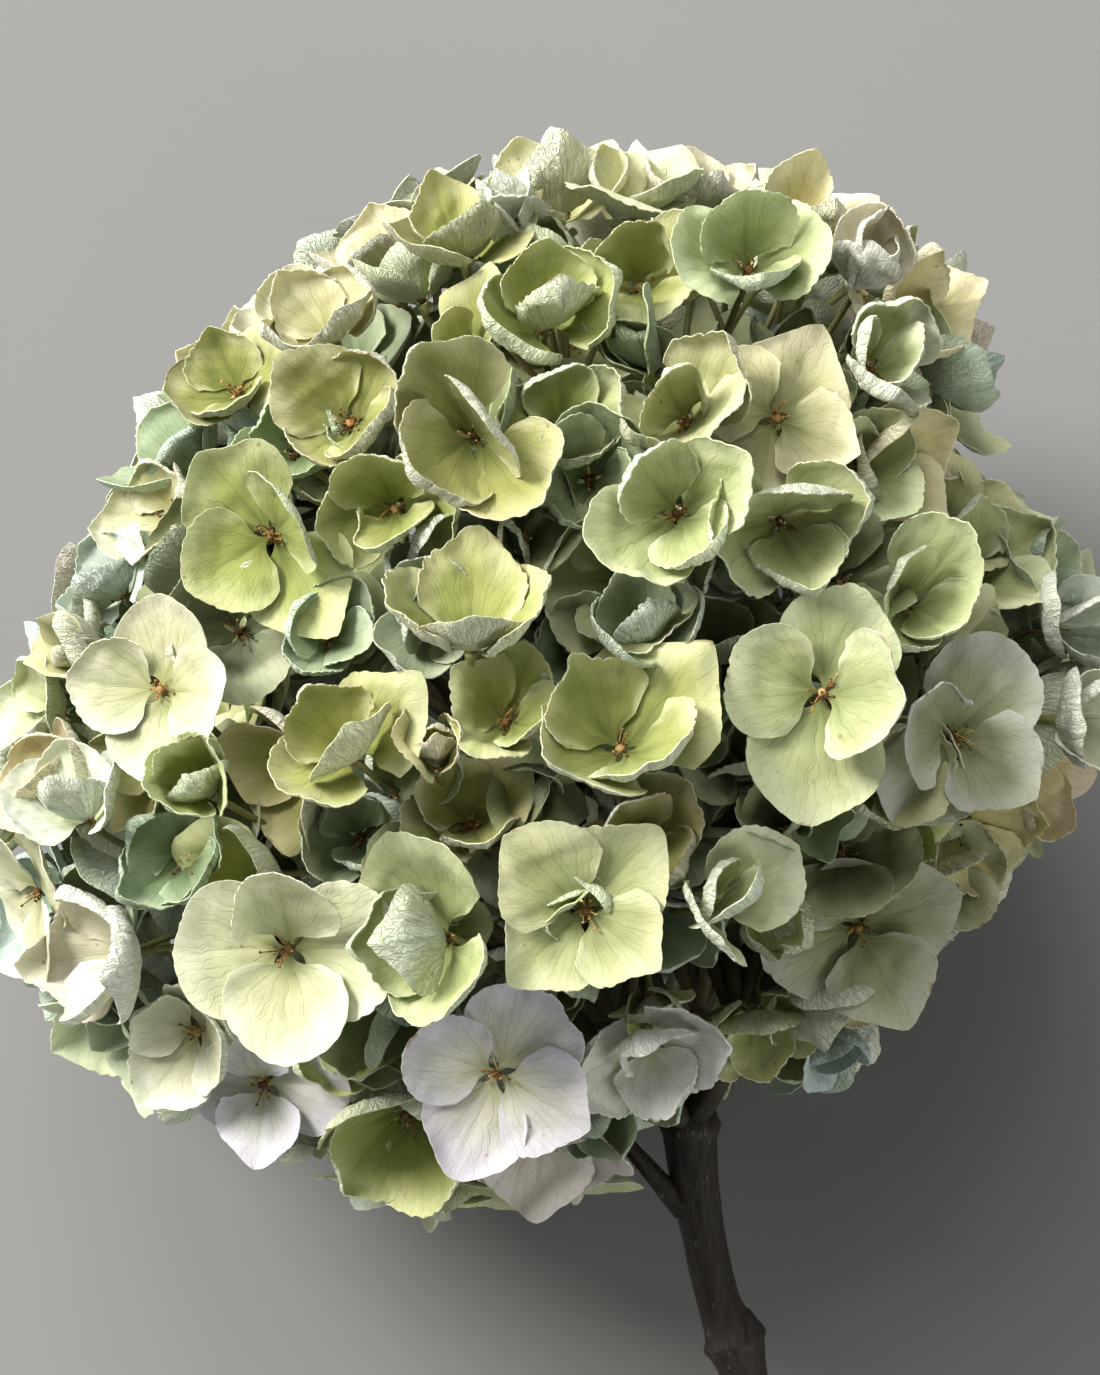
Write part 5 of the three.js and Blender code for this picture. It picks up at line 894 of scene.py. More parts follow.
def ico():
    global _ico
    if _ico is None:
        p = (1 + 5 ** 0.5) / 2
        v = [(-1, p, 0), (1, p, 0), (-1, -p, 0), (1, -p, 0), (0, -1, p), (0, 1, p), (0, -1, -p), (0, 1, -p), (p, 0, -1), (p, 0, 1), (-p, 0, -1), (-p, 0, 1)]
        f = [(0, 11, 5), (0, 5, 1), (0, 1, 7), (0, 7, 10), (0, 10, 11), (1, 5, 9), (5, 11, 4), (11, 10, 2), (10, 7, 6), (7, 1, 8), (3, 9, 4), (3, 4, 2), (3, 2, 6), (3, 6, 8), (3, 8, 9), (4, 9, 5), (2, 4, 11), (6, 2, 10), (8, 6, 7), (9, 8, 1)]
        v = [np.array(a, float) / np.linalg.norm(a) for a in v]
        mid = {}
        out = []

        def m(a, b):
            k = (min(a, b), max(a, b))
            if k not in mid:
                q = v[a] + v[b]
                v.append(q / np.linalg.norm(q))
                mid[k] = len(v) - 1
            return mid[k]
        for a, b, c in f:
            d, e, g = m(a, b), m(b, c), m(c, a)
            out += [(a, d, g), (b, e, d), (c, g, e), (d, e, g)]
        _ico = (np.array(v), np.array(out))
    return _ico


def add_blob(soup, rng, centre, axes, M3, col, rnd, mat, org, size, rough=0.12):
    v, f = ico()
    w = v * (1 + rng.normal(0, rough, (len(v), 1)))
    w = (w * np.asarray(axes)) @ M3.T + centre
    uv = org + (v[:, :2] * 0.5 + 0.5) * size
    sep = np.zeros((len(v), 3))
    soup.add(to_row(w), col, sep, rnd, np.zeros((0, 4), int), f, None, uv[f], mat)


def curve(pts, n):
    """Catmull-Rom through points, n samples evenly in parameter"""
    pts = np.asarray(pts, float)
    ext = np.vstack([2 * pts[0] - pts[1], pts, 2 * pts[-1] - pts[-2]])
    out = []
    t = np.linspace(0, len(pts) - 1, n)
    for s in t:
        i = min(int(s), len(pts) - 2)
        k = s - i
        p0, p1, p2, p3 = ext[i:i + 4]
        out.append(0.5 * ((2 * p1) + (-p0 + p2) * k + (2 * p0 - 5 * p1 + 4 * p2 - p3) * k * k + (-p0 + 3 * p1 - 3 * p2 + p3) * k ** 3))
    return np.array(out)


# ------------------------------------------------------------------ materials
def nodes_of(mat):
    mat.use_nodes = True
    nt = mat.node_tree
    nt.nodes.clear()
    return nt


class G:
    """short hand for shader graphs"""

    def __init__(self, nt):
        self.nt = nt

    def new(self, kind, **props):
        n = self.nt.nodes.new(kind)
        for k, v in props.items():
            setattr(n, k, v)
        return n

    def put(self, sock, val):
        if isinstance(val, bpy.types.NodeSocket):
            self.nt.links.new(val, sock)
        else:
            sock.default_value = val

    def math(self, op, a, b=None, c=None, clamp=False):
        n = self.new('ShaderNodeMath', operation=op, use_clamp=clamp)
        self.put(n.inputs[0], a)
        if b is not None:
            self.put(n.inputs[1], b)
        if c is not None:
            self.put(n.inputs[2], c)
        return n.outputs[0]

    def ramp(self, v, a, b, lo=0.0, hi=1.0):
        n = self.new('ShaderNodeMapRange', interpolation_type='SMOOTHSTEP', clamp=True)
        self.put(n.inputs['Value'], v)
        self.put(n.inputs['From Min'], a)
        self.put(n.inputs['From Max'], b)
        self.put(n.inputs['To Min'], lo)
        self.put(n.inputs['To Max'], hi)
        return n.outputs[0]

    def noise(self, vec, scale, detail=3.0, rough=0.55, dist=0.0):
        n = self.new('ShaderNodeTexNoise', noise_dimensions='3D')
        self.put(n.inputs['Vector'], vec)
        self.put(n.inputs['Scale'], scale)
        self.put(n.inputs['Detail'], detail)
        self.put(n.inputs['Roughness'], rough)
        self.put(n.inputs['Distortion'], dist)
        return n.outputs['Fac']

    def mix(self, fac, a, b, kind='MIX'):
        n = self.new('ShaderNodeMix', data_type='RGBA', blend_type=kind)
        self.put(n.inputs[0], fac)
        self.put(n.inputs[6], a)
        self.put(n.inputs[7], b)
        return n.outputs[2]

    def mix1(self, fac, a, b):
        # one number to another, by fac
        return self.math('MULTIPLY_ADD', fac, self.math('SUBTRACT', b, a), a)

    def xyz(self, x, y, z):
        n = self.new('ShaderNodeCombineXYZ')
        self.put(n.inputs[0], x)
        self.put(n.inputs[1], y)
        self.put(n.inputs[2], z)
        return n.outputs[0]

    def split(self, v):
        n = self.new('ShaderNodeSeparateXYZ')
        self.put(n.inputs[0], v)
        return n.outputs

    def attr(self, name):
        n = self.new('ShaderNodeAttribute', attribute_name=name)
        return n


def sepal_material():
    mat = bpy.data.materials.new('dried_sepal')
    g = G(nodes_of(mat))
    col = g.attr('col').outputs['Color']
    sep = g.split(g.attr('sep').outputs['Vector'])
    pn, u, side = sep[0], sep[1], sep[2]
    rnd = g.attr('rnd').outputs['Fac']
    co = g.new('ShaderNodeTexCoord').outputs['Object']
    base = g.xyz(pn, u, rnd)
    wob = g.noise(g.xyz(g.math('MULTIPLY', pn, 2.0), g.math('MULTIPLY', u, 2.2), g.math('MULTIPLY', rnd, 37.0)), 2.4, 2.0, 0.6)
    wob = g.math('SUBTRACT', wob, 0.5)

    def lines(freq, width, amount, shift):
        # thin lines that fan out from the base of the sepal
        a = g.math('MULTIPLY_ADD', pn, freq, shift)
        a = g.math('MULTIPLY_ADD', wob, amount, a)
        a = g.math('PINGPONG', a, 0.5)
        return g.ramp(a, 0.0, width, 1.0, 0.0)
    v1 = lines(3.5, 0.055, 0.9, 0.0)
    v1 = g.math('MULTIPLY', v1, g.ramp(u, 0.55, 1.0, 1.0, 0.35))
    v2 = lines(9.0, 0.10, 2.2, 0.3)
    v2 = g.math('MULTIPLY', v2, g.ramp(u, 0.22, 0.55, 0.0, 0.75))
    vo = g.new('ShaderNodeTexVoronoi', feature='DISTANCE_TO_EDGE', voronoi_dimensions='3D')
    g.put(vo.inputs['Vector'], g.xyz(g.math('MULTIPLY_ADD', wob, 1.2, g.math('MULTIPLY', pn, 13.0)), g.math('MULTIPLY', u, 8.0), g.math('MULTIPLY', rnd, 91.0)))
    g.put(vo.inputs['Scale'], 1.0)
    v3 = g.ramp(vo.outputs['Distance'], 0.015, 0.11, 1.0, 0.0)
    v3 = g.math('MULTIPLY', v3, g.ramp(u, 0.12, 0.5, 0.0, 0.45))
    v4 = lines(15.0, 0.16, 3.2, 0.1)
    v4 = g.math('MULTIPLY', v4, g.ramp(u, 0.35, 0.7, 0.0, 0.6))
    vein = g.math('MAXIMUM', v1, g.math('MAXIMUM', v2, g.math('MULTIPLY', v3, 0.55)))
    rib = g.math('MAXIMUM', g.math('MAXIMUM', v1, v2), g.math('MAXIMUM', v3, v4))
    fine = g.noise(co, 1500.0, 2.0, 0.65)
    mott = g.noise(co, 300.0, 2.0, 0.6)
    big = g.noise(co, 70.0, 1.0, 0.5)
    # colour
    face_dark = g.mix(1.0, col, (0.70, 0.74, 0.56, 1), 'MULTIPLY')
    back_light = g.mix(1.0, col, (1.04, 1.03, 0.98, 1), 'MULTIPLY')
    vcol = g.mix(side, face_dark, back_light)
    c = g.mix(g.math('MULTIPLY', g.mix1(side, vein, rib), 0.55), col, vcol)
    m1 = g.ramp(mott, 0.30, 0.70, 0.0, 1.0)
    c = g.mix(g.math('MULTIPLY', m1, 0.26), c, g.mix(1.0, c, (0.80, 0.86, 0.70, 1), 'MULTIPLY'))
    c = g.mix(g.math('MULTIPLY', g.ramp(big, 0.42, 0.68), 0.30), c, g.mix(1.0, c, (1.02, 0.97, 0.80, 1), 'MULTIPLY'))
    c = g.mix(g.math('MULTIPLY', g.ramp(fine, 0.45, 0.8), 0.22), c, g.mix(1.0, c, (0.84, 0.84, 0.78, 1), 'MULTIPLY'))
    # small brown specks and browned margin nicks
    sp = g.new('ShaderNodeTexVoronoi', feature='F1', voronoi_dimensions='3D')
    g.put(sp.inputs['Vector'], co)
    g.put(sp.inputs['Scale'], 330.0)
    speck = g.math('MULTIPLY', g.ramp(sp.outputs['Distance'], 0.08, 0.16, 1.0, 0.0), g.ramp(g.noise(co, 120.0, 2.0), 0.56, 0.66))
    edge = g.math('MULTIPLY', g.ramp(u, 0.955, 1.0), g.ramp(g.noise(co, 210.0, 3.0, 0.6), 0.60, 0.70))
    brown = g.math('MAXIMUM', g.math('MULTIPLY', speck, 0.55), g.math('MULTIPLY', edge, 0.75))
    c = g.mix(brown, c, (0.23, 0.125, 0.045, 1))
    # relief
    h = g.mix1(side, g.math('MULTIPLY', vein, -0.42), g.math('MULTIPLY', rib, 0.95))
    h = g.math('MULTIPLY_ADD', mott, 0.7, h)
    h = g.math('MULTIPLY_ADD', fine, 0.22, h)
    bump = g.new('ShaderNodeBump')
    g.put(bump.inputs['Strength'], 0.85)
    g.put(bump.inputs['Distance'], g.math('MULTIPLY_ADD', side, 0.00030, 0.00016))
    g.put(bump.inputs['Height'], h)
    bs = g.new('ShaderNodeBsdfPrincipled')
    g.put(bs.inputs['Base Color'], c)
    g.put(bs.inputs['Roughness'], 0.72)
    g.put(bs.inputs['Specular IOR Level'], 0.28)
    g.put(bs.inputs['Sheen Weight'], 0.12)
    g.put(bs.inputs['Sheen Roughness'], 0.5)
    g.put(bs.inputs['Normal'], bump.outputs[0])
    tr = g.new('ShaderNodeBsdfTranslucent')
    g.put(tr.inputs['Color'], g.mix(1.0, c, (0.92, 0.94, 0.76, 1), 'MULTIPLY'))
    g.put(tr.inputs['Normal'], bump.outputs[0])
    mx = g.new('ShaderNodeMixShader')
    g.put(mx.inputs[0], 0.20)
    g.nt.links.new(bs.outputs[0], mx.inputs[1])
    g.nt.links.new(tr.outputs[0], mx.inputs[2])
    out = g.new('ShaderNodeOutputMaterial')
    g.nt.links.new(mx.outputs[0], out.inputs['Surface'])
    return mat


def plain_material(name, rough, bump_mm, scale, vary, spec=0.3):
    mat = bpy.data.materials.new(name)
    g = G(nodes_of(mat))
    col = g.attr('col').outputs['Color']
    co = g.new('ShaderNodeTexCoord').outputs['Object']
    n1 = g.noise(co, scale, 5.0, 0.65)
    n2 = g.noise(co, scale * 0.22, 3.0, 0.6)
    c = g.mix(g.math('MULTIPLY', g.ramp(n1, 0.35, 0.7), vary), col, g.mix(1.0, col, (0.45, 0.42, 0.38, 1), 'MULTIPLY'))
    c = g.mix(g.math('MULTIPLY', g.ramp(n2, 0.45, 0.7), vary), c, g.mix(1.0, col, (1.5, 1.35, 1.15, 1), 'MULTIPLY'))
    bump = g.new('ShaderNodeBump')
    g.put(bump.inputs['Strength'], 0.9)
    g.put(bump.inputs['Distance'], bump_mm * 0.001)
    g.put(bump.inputs['Height'], g.math('MULTIPLY_ADD', n2, 0.6, n1))
    bs = g.new('ShaderNodeBsdfPrincipled')
    g.put(bs.inputs['Base Color'], c)
    g.put(bs.inputs['Roughness'], rough)
    g.put(bs.inputs['Specular IOR Level'], spec)
    g.put(bs.inputs['Normal'], bump.outputs[0])
    out = g.new('ShaderNodeOutputMaterial')
    g.nt.links.new(bs.outputs[0], out.inputs['Surface'])
    return mat


def bark_material():
    mat = bpy.data.materials.new('dark_bark')
    g = G(nodes_of(mat))
    col = g.attr('col').outputs['Color']
    sep = g.split(g.attr('sep').outputs['Vector'])
    co = g.new('ShaderNodeTexCoord').outputs['Object']
    s = g.split(co)
    # streaks that run along the stem (+Y)
    st = g.xyz(g.math('MULTIPLY', s[0], 900.0), g.math('MULTIPLY', s[1], 55.0), g.math('MULTIPLY', s[2], 900.0))
    streak = g.noise(st, 1.0, 5.0, 0.62, 0.4)
    st2 = g.xyz(g.math('MULTIPLY', s[0], 2400.0), g.math('MULTIPLY', s[1], 160.0), g.math('MULTIPLY', s[2], 2400.0))
    fine = g.noise(st2, 1.0, 4.0, 0.6)
    pat = g.noise(co, 90.0, 4.0, 0.6)
    c = g.mix(g.ramp(streak, 0.35, 0.72), g.mix(1.0, col, (0.55, 0.52, 0.50, 1), 'MULTIPLY'), g.mix(1.0, col, (1.9, 1.75, 1.6, 1), 'MULTIPLY'))
    c = g.mix(g.math('MULTIPLY', g.ramp(fine, 0.5, 0.75), 0.35), c, g.mix(1.0, col, (2.4, 2.1, 1.8, 1), 'MULTIPLY'))
    c = g.mix(g.math('MULTIPLY', g.ramp(pat, 0.5, 0.72), 0.4), c, g.mix(1.0, col, (1.5, 1.25, 1.0, 1), 'MULTIPLY'))
    # small pale pores
    po = g.new('ShaderNodeTexVoronoi', feature='F1', voronoi_dimensions='3D')
    g.put(po.inputs['Vector'], g.xyz(g.math('MULTIPLY', s[0], 520.0), g.math('MULTIPLY', s[1], 170.0), g.math('MULTIPLY', s[2], 520.0)))
    g.put(po.inputs['Scale'], 1.0)
    pore = g.ramp(po.outputs['Distance'], 0.10, 0.20, 1.0, 0.0)
    c = g.mix(g.math('MULTIPLY', pore, 0.5), c, (0.14, 0.10, 0.07, 1))
    h = g.math('MULTIPLY_ADD', fine, 0.35, streak)
    h = g.math('MULTIPLY_ADD', pore, 0.4, h)
    bump = g.new('ShaderNodeBump')
    g.put(bump.inputs['Strength'], 0.9)
    g.put(bump.inputs['Distance'], 0.00035)
    g.put(bump.inputs['Height'], h)
    bs = g.new('ShaderNodeBsdfPrincipled')
    g.put(bs.inputs['Base Color'], c)
    g.put(bs.inputs['Roughness'], g.ramp(streak, 0.3, 0.7, 0.48, 0.68))
    g.put(bs.inputs['Specular IOR Level'], 0.35)
    g.put(bs.inputs['Normal'], bump.outputs[0])
    out = g.new('ShaderNodeOutputMaterial')
    g.nt.links.new(bs.outputs[0], out.inputs['Surface'])
    return mat


SEPAL = sepal_material()
STAMEN = plain_material('dried_stamen', 0.75, 0.12, 1800.0, 0.5)
STALK = plain_material('floret_stalk', 0.7, 0.15, 900.0, 0.4)
BARK = bark_material()
RAYM = plain_material('ray_bark', 0.68, 0.25, 700.0, 0.5)

# ------------------------------------------------------------------ the cymes
BROWN = [lin(c) for c in ((158, 120, 66), (134, 98, 54), (104, 74, 42), (178, 138, 84), (88, 64, 40), (196, 164, 110))]
LAV = lin((196, 190, 214))
TEAL = lin((160, 184, 166))
BLUE = lin((186, 204, 204))


def floret(soup, rng, row, org_of, hub):
    k, x, y, z, nx, ny, nz, roll, R, form, colour, kind = row
    f = FORMS[form]
    B = basis(np.array([nx, ny, nz]))
    c0 = np.array([x, y, z])
    M, N = (45, 24) if kind == 1 else ((31, 17) if kind == 0 else (21, 12))
    cols = COLOURS[colour]
    hue = rng.normal(0, 0.03, 3)
    cols = [c * (1 + hue) for c in cols]
    rnd0 = rng.uniform(0, 50)
    lowleft = smooth(10, -90, x * 0.8 + y * 0.7)
    bl_f = 0.0
    blush = LAV
    if colour in ('lav', 'greylav'):
        bl_f = rng.uniform(0.35, 0.70) if colour == 'lav' else rng.uniform(0.04, 0.20)
    elif rng.random() < 0.25:
        bl_f, blush = rng.uniform(0.1, 0.35), (LAV if rng.random() < 0.4 else BLUE)
    bk = rng.uniform(0.0, 0.28) + 0.30 * float(lowleft)
    a0 = math.radians(f['a0'] + rng.normal(0, 3))
    a1 = math.radians(f['a1'] + rng.normal(0, 5))
    hint = HINTS.get((round(x, 1), round(y, 1)), {})
    par = 0
    if hint:
        par = 1 - (list(hint)[0] % 2)
    extra = rng.integers(4) if rng.random() < (0.35 if form == 'open' else 0.55) and not hint else -1
    rh0 = rng.uniform(0.0, 0.75)
    for q in range(4):
        rh = float(np.clip(rh0 + rng.normal(0, 0.12), 0, 0.85))
        up = (q + par) % 2
        if q == extra and not up:
            extra = (extra + 1) % 4 if extra + 1 > q else extra
        Rq = R * f['size'] * rng.uniform(0.92, 1.07) * (1.0 if up else 1.03)
        d = math.radians(abs(rng.normal(0, 6)) if up else -abs(rng.normal(0, 5)))
        rs = 0
        fold = max(0, rng.normal(0.03, 0.05))
        wrap = rng.uniform(0.45, 0.75)
        mr = f['roll'] * rng.uniform(0.2, 1.5)
        if rng.random() < 0.22:
            mr = -f['roll'] * rng.uniform(0.3, 1.0)
        if q in hint:
            d += math.radians(hint[q][0])
            rs = hint[q][1]
            mr = hint[q][2]
            wrap = 0.12
        elif q == extra:
            d += math.radians(rng.uniform(15, 48))
            fold += rng.uniform(0.0, 0.22)
            mr = rng.uniform(0.1, 1.0)
            wrap = rng.uniform(0.05, 0.25)
            if rng.random() < 0.4:
                rs = rng.choice([-1, 1]) * rng.uniform(50, 120)
        point = rng.choice([0.0, 0.04, 0.07, 0.10])
        turn = math.radians(roll + 90 * q + rng.normal(0, 4))
        v, col, sep = sepal(rng, Rq, a0 + d * 0.6, a1 + d, turn, up, f, M, N, rs, mr, rng.uniform(0.94, 1.08), cols, (bl_f, blush, bk, TEAL if rng.random() < .5 else BLUE), point, fold, wrap, rh)
        v = v @ B.T + c0
        face, back, rim, uv, border, fi, ui = topo(M, N)
        o0, s0 = org_of()
        o1, s1 = org_of()
        uvA = o0 + uv * s0
        uvB = o1 + uv * s1
        uvf = uvA[face]
        uvb = uvB[(back - M * N)]
        uvr = uvA[rim % (M * N)]
        faces = np.concatenate([face, back, rim])
        soup.add(to_row(v), col, sep, rnd0 + q * 3.7, faces, np.zeros((0, 3), int), np.concatenate([uvf, uvb, uvr]), None, 0, border)
    # dried stamens and styles
    o, s = org_of()
    cc = c0 + B[:, 2] * 0.5
    tint = BROWN[rng.integers(len(BROWN))]
    add_blob(soup, rng, cc + B[:, 2] * 0.5, (0.85, 0.85, 0.8), B, tint * 0.8, rnd0, 1, o, s)
    nst = 13 if kind == 1 else (8 if kind == 0 else 3)
    for i in range(nst):
        a = rng.uniform(0, 6.28)
        tilt = rng.uniform(0.1, 1.35)
        L = rng.uniform(1.0, 2.9) * R / 17
        d0 = np.array([math.cos(a) * math.sin(tilt), math.sin(a) * math.sin(tilt), math.cos(tilt)])
        d1 = d0 + rng.normal(0, 0.8, 3)
        p0 = np.array([math.cos(a), math.sin(a), 0.2]) * 0.5
        t = np.linspace(0, 1, 5)[:, None]
        path = p0 + d0 * L * t + (d1 - d0) * L * t * t * 0.5
        path = path @ B.T + cc
        col = BROWN[rng.integers(len(BROWN))] * rng.uniform(0.8, 1.25)
        add_tube(soup, path, np.linspace(0.17, 0.09, 5), 5, col, rnd0, 1, o, s)
        add_blob(soup, rng, path[-1], (0.26, 0.22, 0.36), B, col * rng.uniform(0.6, 1.3), rnd0, 1, o, s, 0.2)
    # stalk
    o, s = org_of()
    n = B[:, 2]
    L = np.linalg.norm(c0 - hub)
    b1 = c0 - n * 0.1
    b2 = c0 - n * min(9, L * 0.4)
    t = np.linspace(0, 1, 10)[:, None]
    path = (1 - t) ** 2 * b1 + 2 * t * (1 - t) * b2 + t ** 2 * hub
    rad = 0.62 + 0.45 * np.exp(-(t[:, 0] / 0.10) ** 2) + 0.25 * smooth(0.8, 1, t[:, 0])
    # darker towards the hub: partly the browner base of the stalk, partly painted shade inside the head
    stalkcol = lin((128, 130, 80)) * (1 - t) + lin((92, 84, 54)) * t
    add_tube(soup, path, rad, 7, stalkcol, rnd0, 2, o, s)


def cyme(k, rows):
    rng = np.random.default_rng(1000 + k)
    soup = Soup()
    total = len(rows) * 10 + 1
    count = [0]

    def org_of():
        r = chart(count[0], total)
        count[0] += 1
        return r
    hub = np.array(HUBS[k][:3])
    for row in rows:
        floret(soup, rng, row, org_of, hub)
    o, s = org_of()
    add_blob(soup, rng, hub, (1.5, 1.5, 1.5), np.eye(3), lin((118, 100, 62)), 0, 2, o, s)
    name = 'florets_%02d' % (k + 1)
    ob = soup.build(name, [SEPAL, STAMEN, STALK])
    node = 'cyme_%02d' % (k + 1)
    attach(ob, 'root')
    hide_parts(node)
    return ob


for k in range(len(HUBS)):
    cyme(k, [r for r in FLORETS if r[0] == k])

# ------------------------------------------------------------- rays and stem
DARK = lin((36, 30, 26))
# OLIVE, the rays' olive-brown, is kept dark partly as painted shade for the branches inside the head
OLIVE = lin((92, 84, 56))


def woody(soup, rng, path, rad, sides, c0, c1, mat, org, size, rid=0.06):
    """tube with furrows"""
    n = len(path)
    a = np.arange(sides) / sides * 2 * math.pi
    t = np.arange(n)[:, None] / n
    bump = np.zeros((n, sides))
    for kf, am in ((3, .5), (5, .6), (8, .55), (13, .4)):
        bump += am * np.cos(kf * a[None] + rng.uniform(0, 6.28) + 1.5 * np.sin(2.2 * t * n * 0.02 + rng.uniform(0, 6.28)))
    for _ in range(6):
        bump += 0.3 * np.sin(rng.integers(1, 5) * a[None] + t * n * rng.uniform(0.05, 0.25) + rng.uniform(0, 6.28))
    r = np.asarray(rad)[:, None] * (1 + rid * bump)
    col = c0 * (1 - t) + c1 * t
    add_tube_r(soup, path, r, sides, col, 0.0, mat, org, size)


def add_tube_r(soup, path, r, sides, col, rnd, mat, org, size):
    v, q, t, uvv, a = tube(path, r, sides)
    n = len(path)
    cc = np.repeat(col, sides, axis=0)
    cc = np.concatenate([cc, col[:1], col[-1:]])
    sep = np.zeros((len(v), 3))
    uv = org + uvv * size
    soup.add(to_row(v), cc, sep, rnd, q, t, uv[q], uv[t], mat)


for r, J in enumerate(JUNCTIONS):
    rng = np.random.default_rng(300 + r)
    soup = Soup()
    J = np.array(J)
    hubs = [np.array(h[:3]) for h in HUBS if h[3] == r]
    total = len(hubs) + 2
    L = np.linalg.norm(J - FORK)
    d = (J - FORK) / L
    side = np.cross(d, [0.2, 0.3, 0.9])
    side /= np.linalg.norm(side)
    start = FORK + d * 1.5
    path = curve([start, start + (J - start) * 0.5 + side * L * 0.05, J], 40)
    rad = np.linspace(2.6, 1.9, 40) * (1 + 0.15 * np.exp(-((np.linspace(0, 1, 40) - 1) / 0.08) ** 2))
    o, s = chart(0, total)
    woody(soup, rng, path, rad, 20, DARK, OLIVE * 0.7, 0, o, s)
    for i, h in enumerate(hubs):
        e = h - J
        Lh = np.linalg.norm(e)
        sd = np.cross(e, rng.normal(0, 1, 3))
        sd /= np.linalg.norm(sd)
        pth = curve([J - d * 0.8, J + e * 0.5 + sd * Lh * 0.05, h], 26)
        rr = np.linspace(1.45, 0.95, 26) * (1 + 0.25 * np.exp(-((np.linspace(0, 1, 26) - 1) / 0.06) ** 2))
        o, s = chart(i + 1, total)
        woody(soup, rng, pth, rr, 14, OLIVE * 0.7, OLIVE, 0, o, s, 0.05)
    o, s = chart(len(hubs) + 1, total)
    add_blob(soup, rng, J, (2.2, 2.2, 2.2), np.eye(3), OLIVE * 0.6, 0, 0, o, s, 0.05)
    ob = soup.build('branch_%d' % (r + 1), [RAYM])
    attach(ob, 'root')
    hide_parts('ray_%d' % (r + 1))


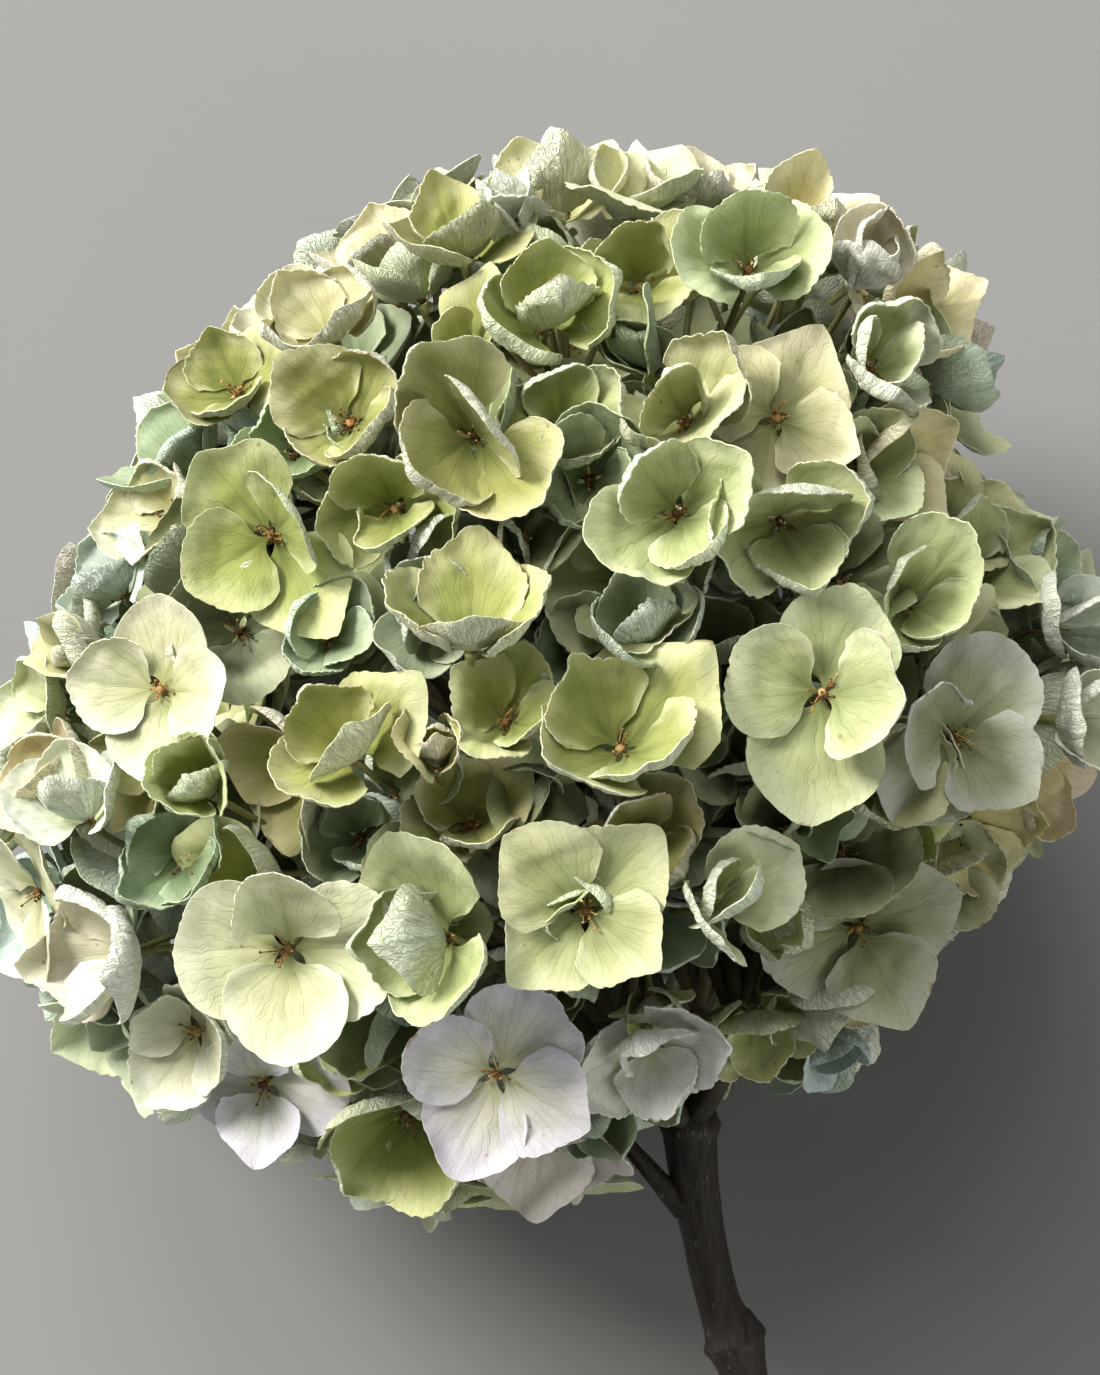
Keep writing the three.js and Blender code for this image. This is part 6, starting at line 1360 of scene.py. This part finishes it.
def stem():
    rng = np.random.default_rng(77)
    soup = Soup()
    S = np.array(STEM)
    n = 460
    path = curve(S[:, :3], n)
    tt = np.linspace(0, len(S) - 1, n)
    rad = np.interp(tt, np.arange(len(S)), S[:, 3])
    k = np.hanning(13)
    k /= k.sum()
    rad = np.convolve(np.pad(rad, 6, mode='edge'), k, mode='valid')
    sides = 72
    a = np.arange(sides) / sides * 2 * math.pi
    dist = np.concatenate([[0], np.cumsum(np.linalg.norm(np.diff(path, axis=0), axis=1))])
    bump = np.zeros((n, sides))
    for kf, am, wl in ((2, .35, 90), (3, .4, 60), (5, .45, 45), (7, .5, 38), (11, .5, 30), (17, .42, 22), (26, .30, 16)):
        ph = rng.uniform(0, 6.28)
        bump += am * np.cos(kf * a[None] + ph + 1.1 * np.sin(dist[:, None] / wl * 6.28 + ph * 2)) * (0.7 + 0.3 * np.sin(dist[:, None] / wl * 3.1 + ph))
    for _ in range(8):
        bump += 0.25 * np.sin(rng.integers(1, 9) * a[None] + dist[:, None] / rng.uniform(2, 9) + rng.uniform(0, 6.28))
    r = rad[:, None] + 0.135 * bump
    # leaf scars: opposite pairs of raised crescents at each node
    for node_y, a_off in ((-124.5, 0.2), (-215.5, 1.75)):
        d = path[:, 1] - node_y
        for s in (0, math.pi):
            da = np.angle(np.exp(1j * (a - a_off - s)))
            r += 1.35 * np.exp(-(d[:, None] / 2.6) ** 2) * np.exp(-(da[None] / 0.62) ** 2)
            r -= 0.55 * np.exp(-((d[:, None] + 1.2) / 0.9) ** 2) * np.exp(-(da[None] / 0.45) ** 2)
            r += 0.9 * np.exp(-((d[:, None] - 3.4) / 1.3) ** 2) * np.exp(-(da[None] / 0.28) ** 2)
        r += 0.28 * np.exp(-((d[:, None]) / 1.0) ** 2)
    col = np.repeat(DARK[None], n, 0) * (1 + 0.12 * np.sin(dist / 17.0))[:, None]
    o, s = np.array([0.01, 0.01]), 0.98
    # long strip folded into the square: bark uses object-space patterns, so any neat strip serves
    v, q, t, uvv, _ = tube(path, r, sides)
    cut = np.concatenate([np.repeat(col, sides, axis=0), col[:1], col[-1:]])
    rows_per = 66
    qi = np.arange(len(q)) // sides
    bandw = 1.0 / 7
    band = qi // rows_per

    def strip(ix, row0):
        ring = np.clip(ix // sides, 0, n - 1)
        sec = (ix % sides) / sides
        return ring, sec
    uv4 = np.zeros((len(q), 4, 2))
    qs = np.arange(len(q)) % sides
    for c, (dr, ds) in enumerate(((0, 0), (0, 1), (1, 1), (1, 0))):
        uv4[:, c, 0] = (band + 0.04 + 0.92 * (qs + ds) / sides) * bandw
        uv4[:, c, 1] = 0.01 + 0.95 * ((qi - band * rows_per) + dr) / rows_per
    keep = t[:sides]
    soup.add(to_row(v[:-1]), cut[:-1], np.zeros((len(v) - 1, 3)), 0.0, q, keep, uv4, np.tile([[0.5, 0.985]], (len(keep) * 3, 1)).reshape(len(keep), 3, 2), 0)
    # cut end: bark ring, pale wood, pith
    last = v[(n - 1) * sides:n * sides]
    cen = last.mean(0)
    rings, cl = [], []
    wood, pith, bark = lin((196, 176, 136)), lin((226, 214, 186)), lin((70, 56, 44))
    for fr, cc in ((1.0, bark), (0.93, bark), (0.90, wood * 0.85), (0.70, wood), (0.46, wood * 0.95), (0.42, pith * 0.8), (0.38, pith), (0.15, pith)):
        w = cen + (last - cen) * fr
        w = w + rng.normal(0, 0.05, w.shape) * (fr < 1)
        rings.append(w)
        cl.append(np.repeat(cc[None], sides, 0) * (1 + rng.normal(0, 0.08, (sides, 1))))
    V = np.concatenate(rings + [cen[None]])
    C = np.concatenate(cl + [pith[None]])
    m = len(rings)
    idx = np.arange(m * sides).reshape(m, sides)
    nx = np.roll(idx, -1, 1)
    qq = np.stack([idx[:-1], nx[:-1], nx[1:], idx[1:]], -1).reshape(-1, 4)
    tr = np.stack([idx[-1], nx[-1], np.full(sides, m * sides)], -1)
    pl = (V - cen)
    e1 = last[0] - cen
    e1 /= np.linalg.norm(e1)
    nrm = np.cross(last[0] - cen, last[sides // 4] - cen)
    nrm /= np.linalg.norm(nrm)
    e2 = np.cross(nrm, e1)
    uvc = np.stack([pl @ e1, pl @ e2], -1) / 14.0
    uvc = np.array([0.93, 0.93]) + uvc * 0.1
    soup.add(to_row(V), C, np.zeros((len(V), 3)), 0.0, qq, tr, uvc[qq], uvc[tr], 1)
    # the fork swelling, where the rays start
    add_blob(soup, rng, FORK + np.array([0.2, 0.5, 0]), (6.0, 5.6, 5.8), np.eye(3), DARK, 0, 0, np.array([0.95, 0.02]), 0.04, 0.04)
    # thin lower side branch
    Sp = np.array(SPUR)
    p2 = curve(Sp[:, :3], 60)
    r2 = np.interp(np.linspace(0, len(Sp) - 1, 60), np.arange(len(Sp)), Sp[:, 3])
    woody(soup, rng, p2, r2, 22, DARK, DARK * 1.3, 0, np.array([0.95, 0.08]), 0.04, 0.05)
    ob = soup.build('stem_bark', [BARK, STALK])
    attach(ob, 'root')
    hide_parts('stem')


stem()

# ------------------------------------------------------------ floor and light
me = bpy.data.meshes.new('floor')
me.from_pydata([(-6, -6, 0), (6, -6, 0), (6, 6, 0), (-6, 6, 0)], [], [(0, 1, 2, 3)])
floor = bpy.data.objects.new('floor', me)
bpy.context.scene.collection.objects.link(floor)
fm = bpy.data.materials.new('floor')
g = G(nodes_of(fm))
bs = g.new('ShaderNodeBsdfPrincipled')
g.put(bs.inputs['Base Color'], (0.205, 0.204, 0.201, 1))
g.put(bs.inputs['Roughness'], 0.95)
g.put(bs.inputs['Specular IOR Level'], 0.1)
out = g.new('ShaderNodeOutputMaterial')
g.nt.links.new(bs.outputs[0], out.inputs['Surface'])
me.materials.append(fm)


def from_head(p):
    p = np.asarray(p, float)
    return np.array([p[0] + SX, p[1] * CT - p[2] * ST + SY, p[1] * ST + p[2] * CT - GROUND]) * 0.001


def area(name, pos, size, power, colour):
    """soft lamp placed in the growing frame (mm) and aimed at the head"""
    d = bpy.data.lights.new(name, 'AREA')
    d.shape = 'DISK'
    d.size = size
    d.energy = power
    d.color = colour
    o = bpy.data.objects.new(name, d)
    bpy.context.scene.collection.objects.link(o)
    a = from_head(pos)
    t = from_head((0, 0, 0))
    o.location = a
    o.rotation_euler = Vector(a - t).to_track_quat('Z', 'Y').to_euler()
    return o


area('key', (-1950, 1500, 1650), 1.3, 162, (1.0, 0.98, 0.945))
area('fill', (1900, -1500, 1300), 1.6, 26, (0.97, 1.0, 0.97))
area('top', (-200, 1800, 2000), 1.6, 30, (1.0, 1.0, 1.0))
area('sky', (-900, 2600, 500), 1.6, 30, (1.0, 1.0, 0.98))
area('left', (-2500, 700, 700), 1.4, 16, (1.0, 0.99, 0.96))

w = bpy.data.worlds.new('studio')
bpy.context.scene.world = w
w.use_nodes = True
w.node_tree.nodes['Background'].inputs[0].default_value = (0.96, 1.0, 0.94, 1)
w.node_tree.nodes['Background'].inputs[1].default_value = 0.23

cam = bpy.data.cameras.new('camera')
cam.lens = 100
cam.sensor_width = 36
cam.clip_start = 0.01
cam.clip_end = 50
cam.dof.use_dof = False
co = bpy.data.objects.new('camera', cam)
bpy.context.scene.collection.objects.link(co)
co.location = from_head((0, 0, VIEW_D))
co.rotation_euler = (TILT, 0, 0)
bpy.context.scene.camera = co
bpy.context.scene.view_settings.view_transform = 'Standard'
bpy.context.scene.view_settings.look = 'None'
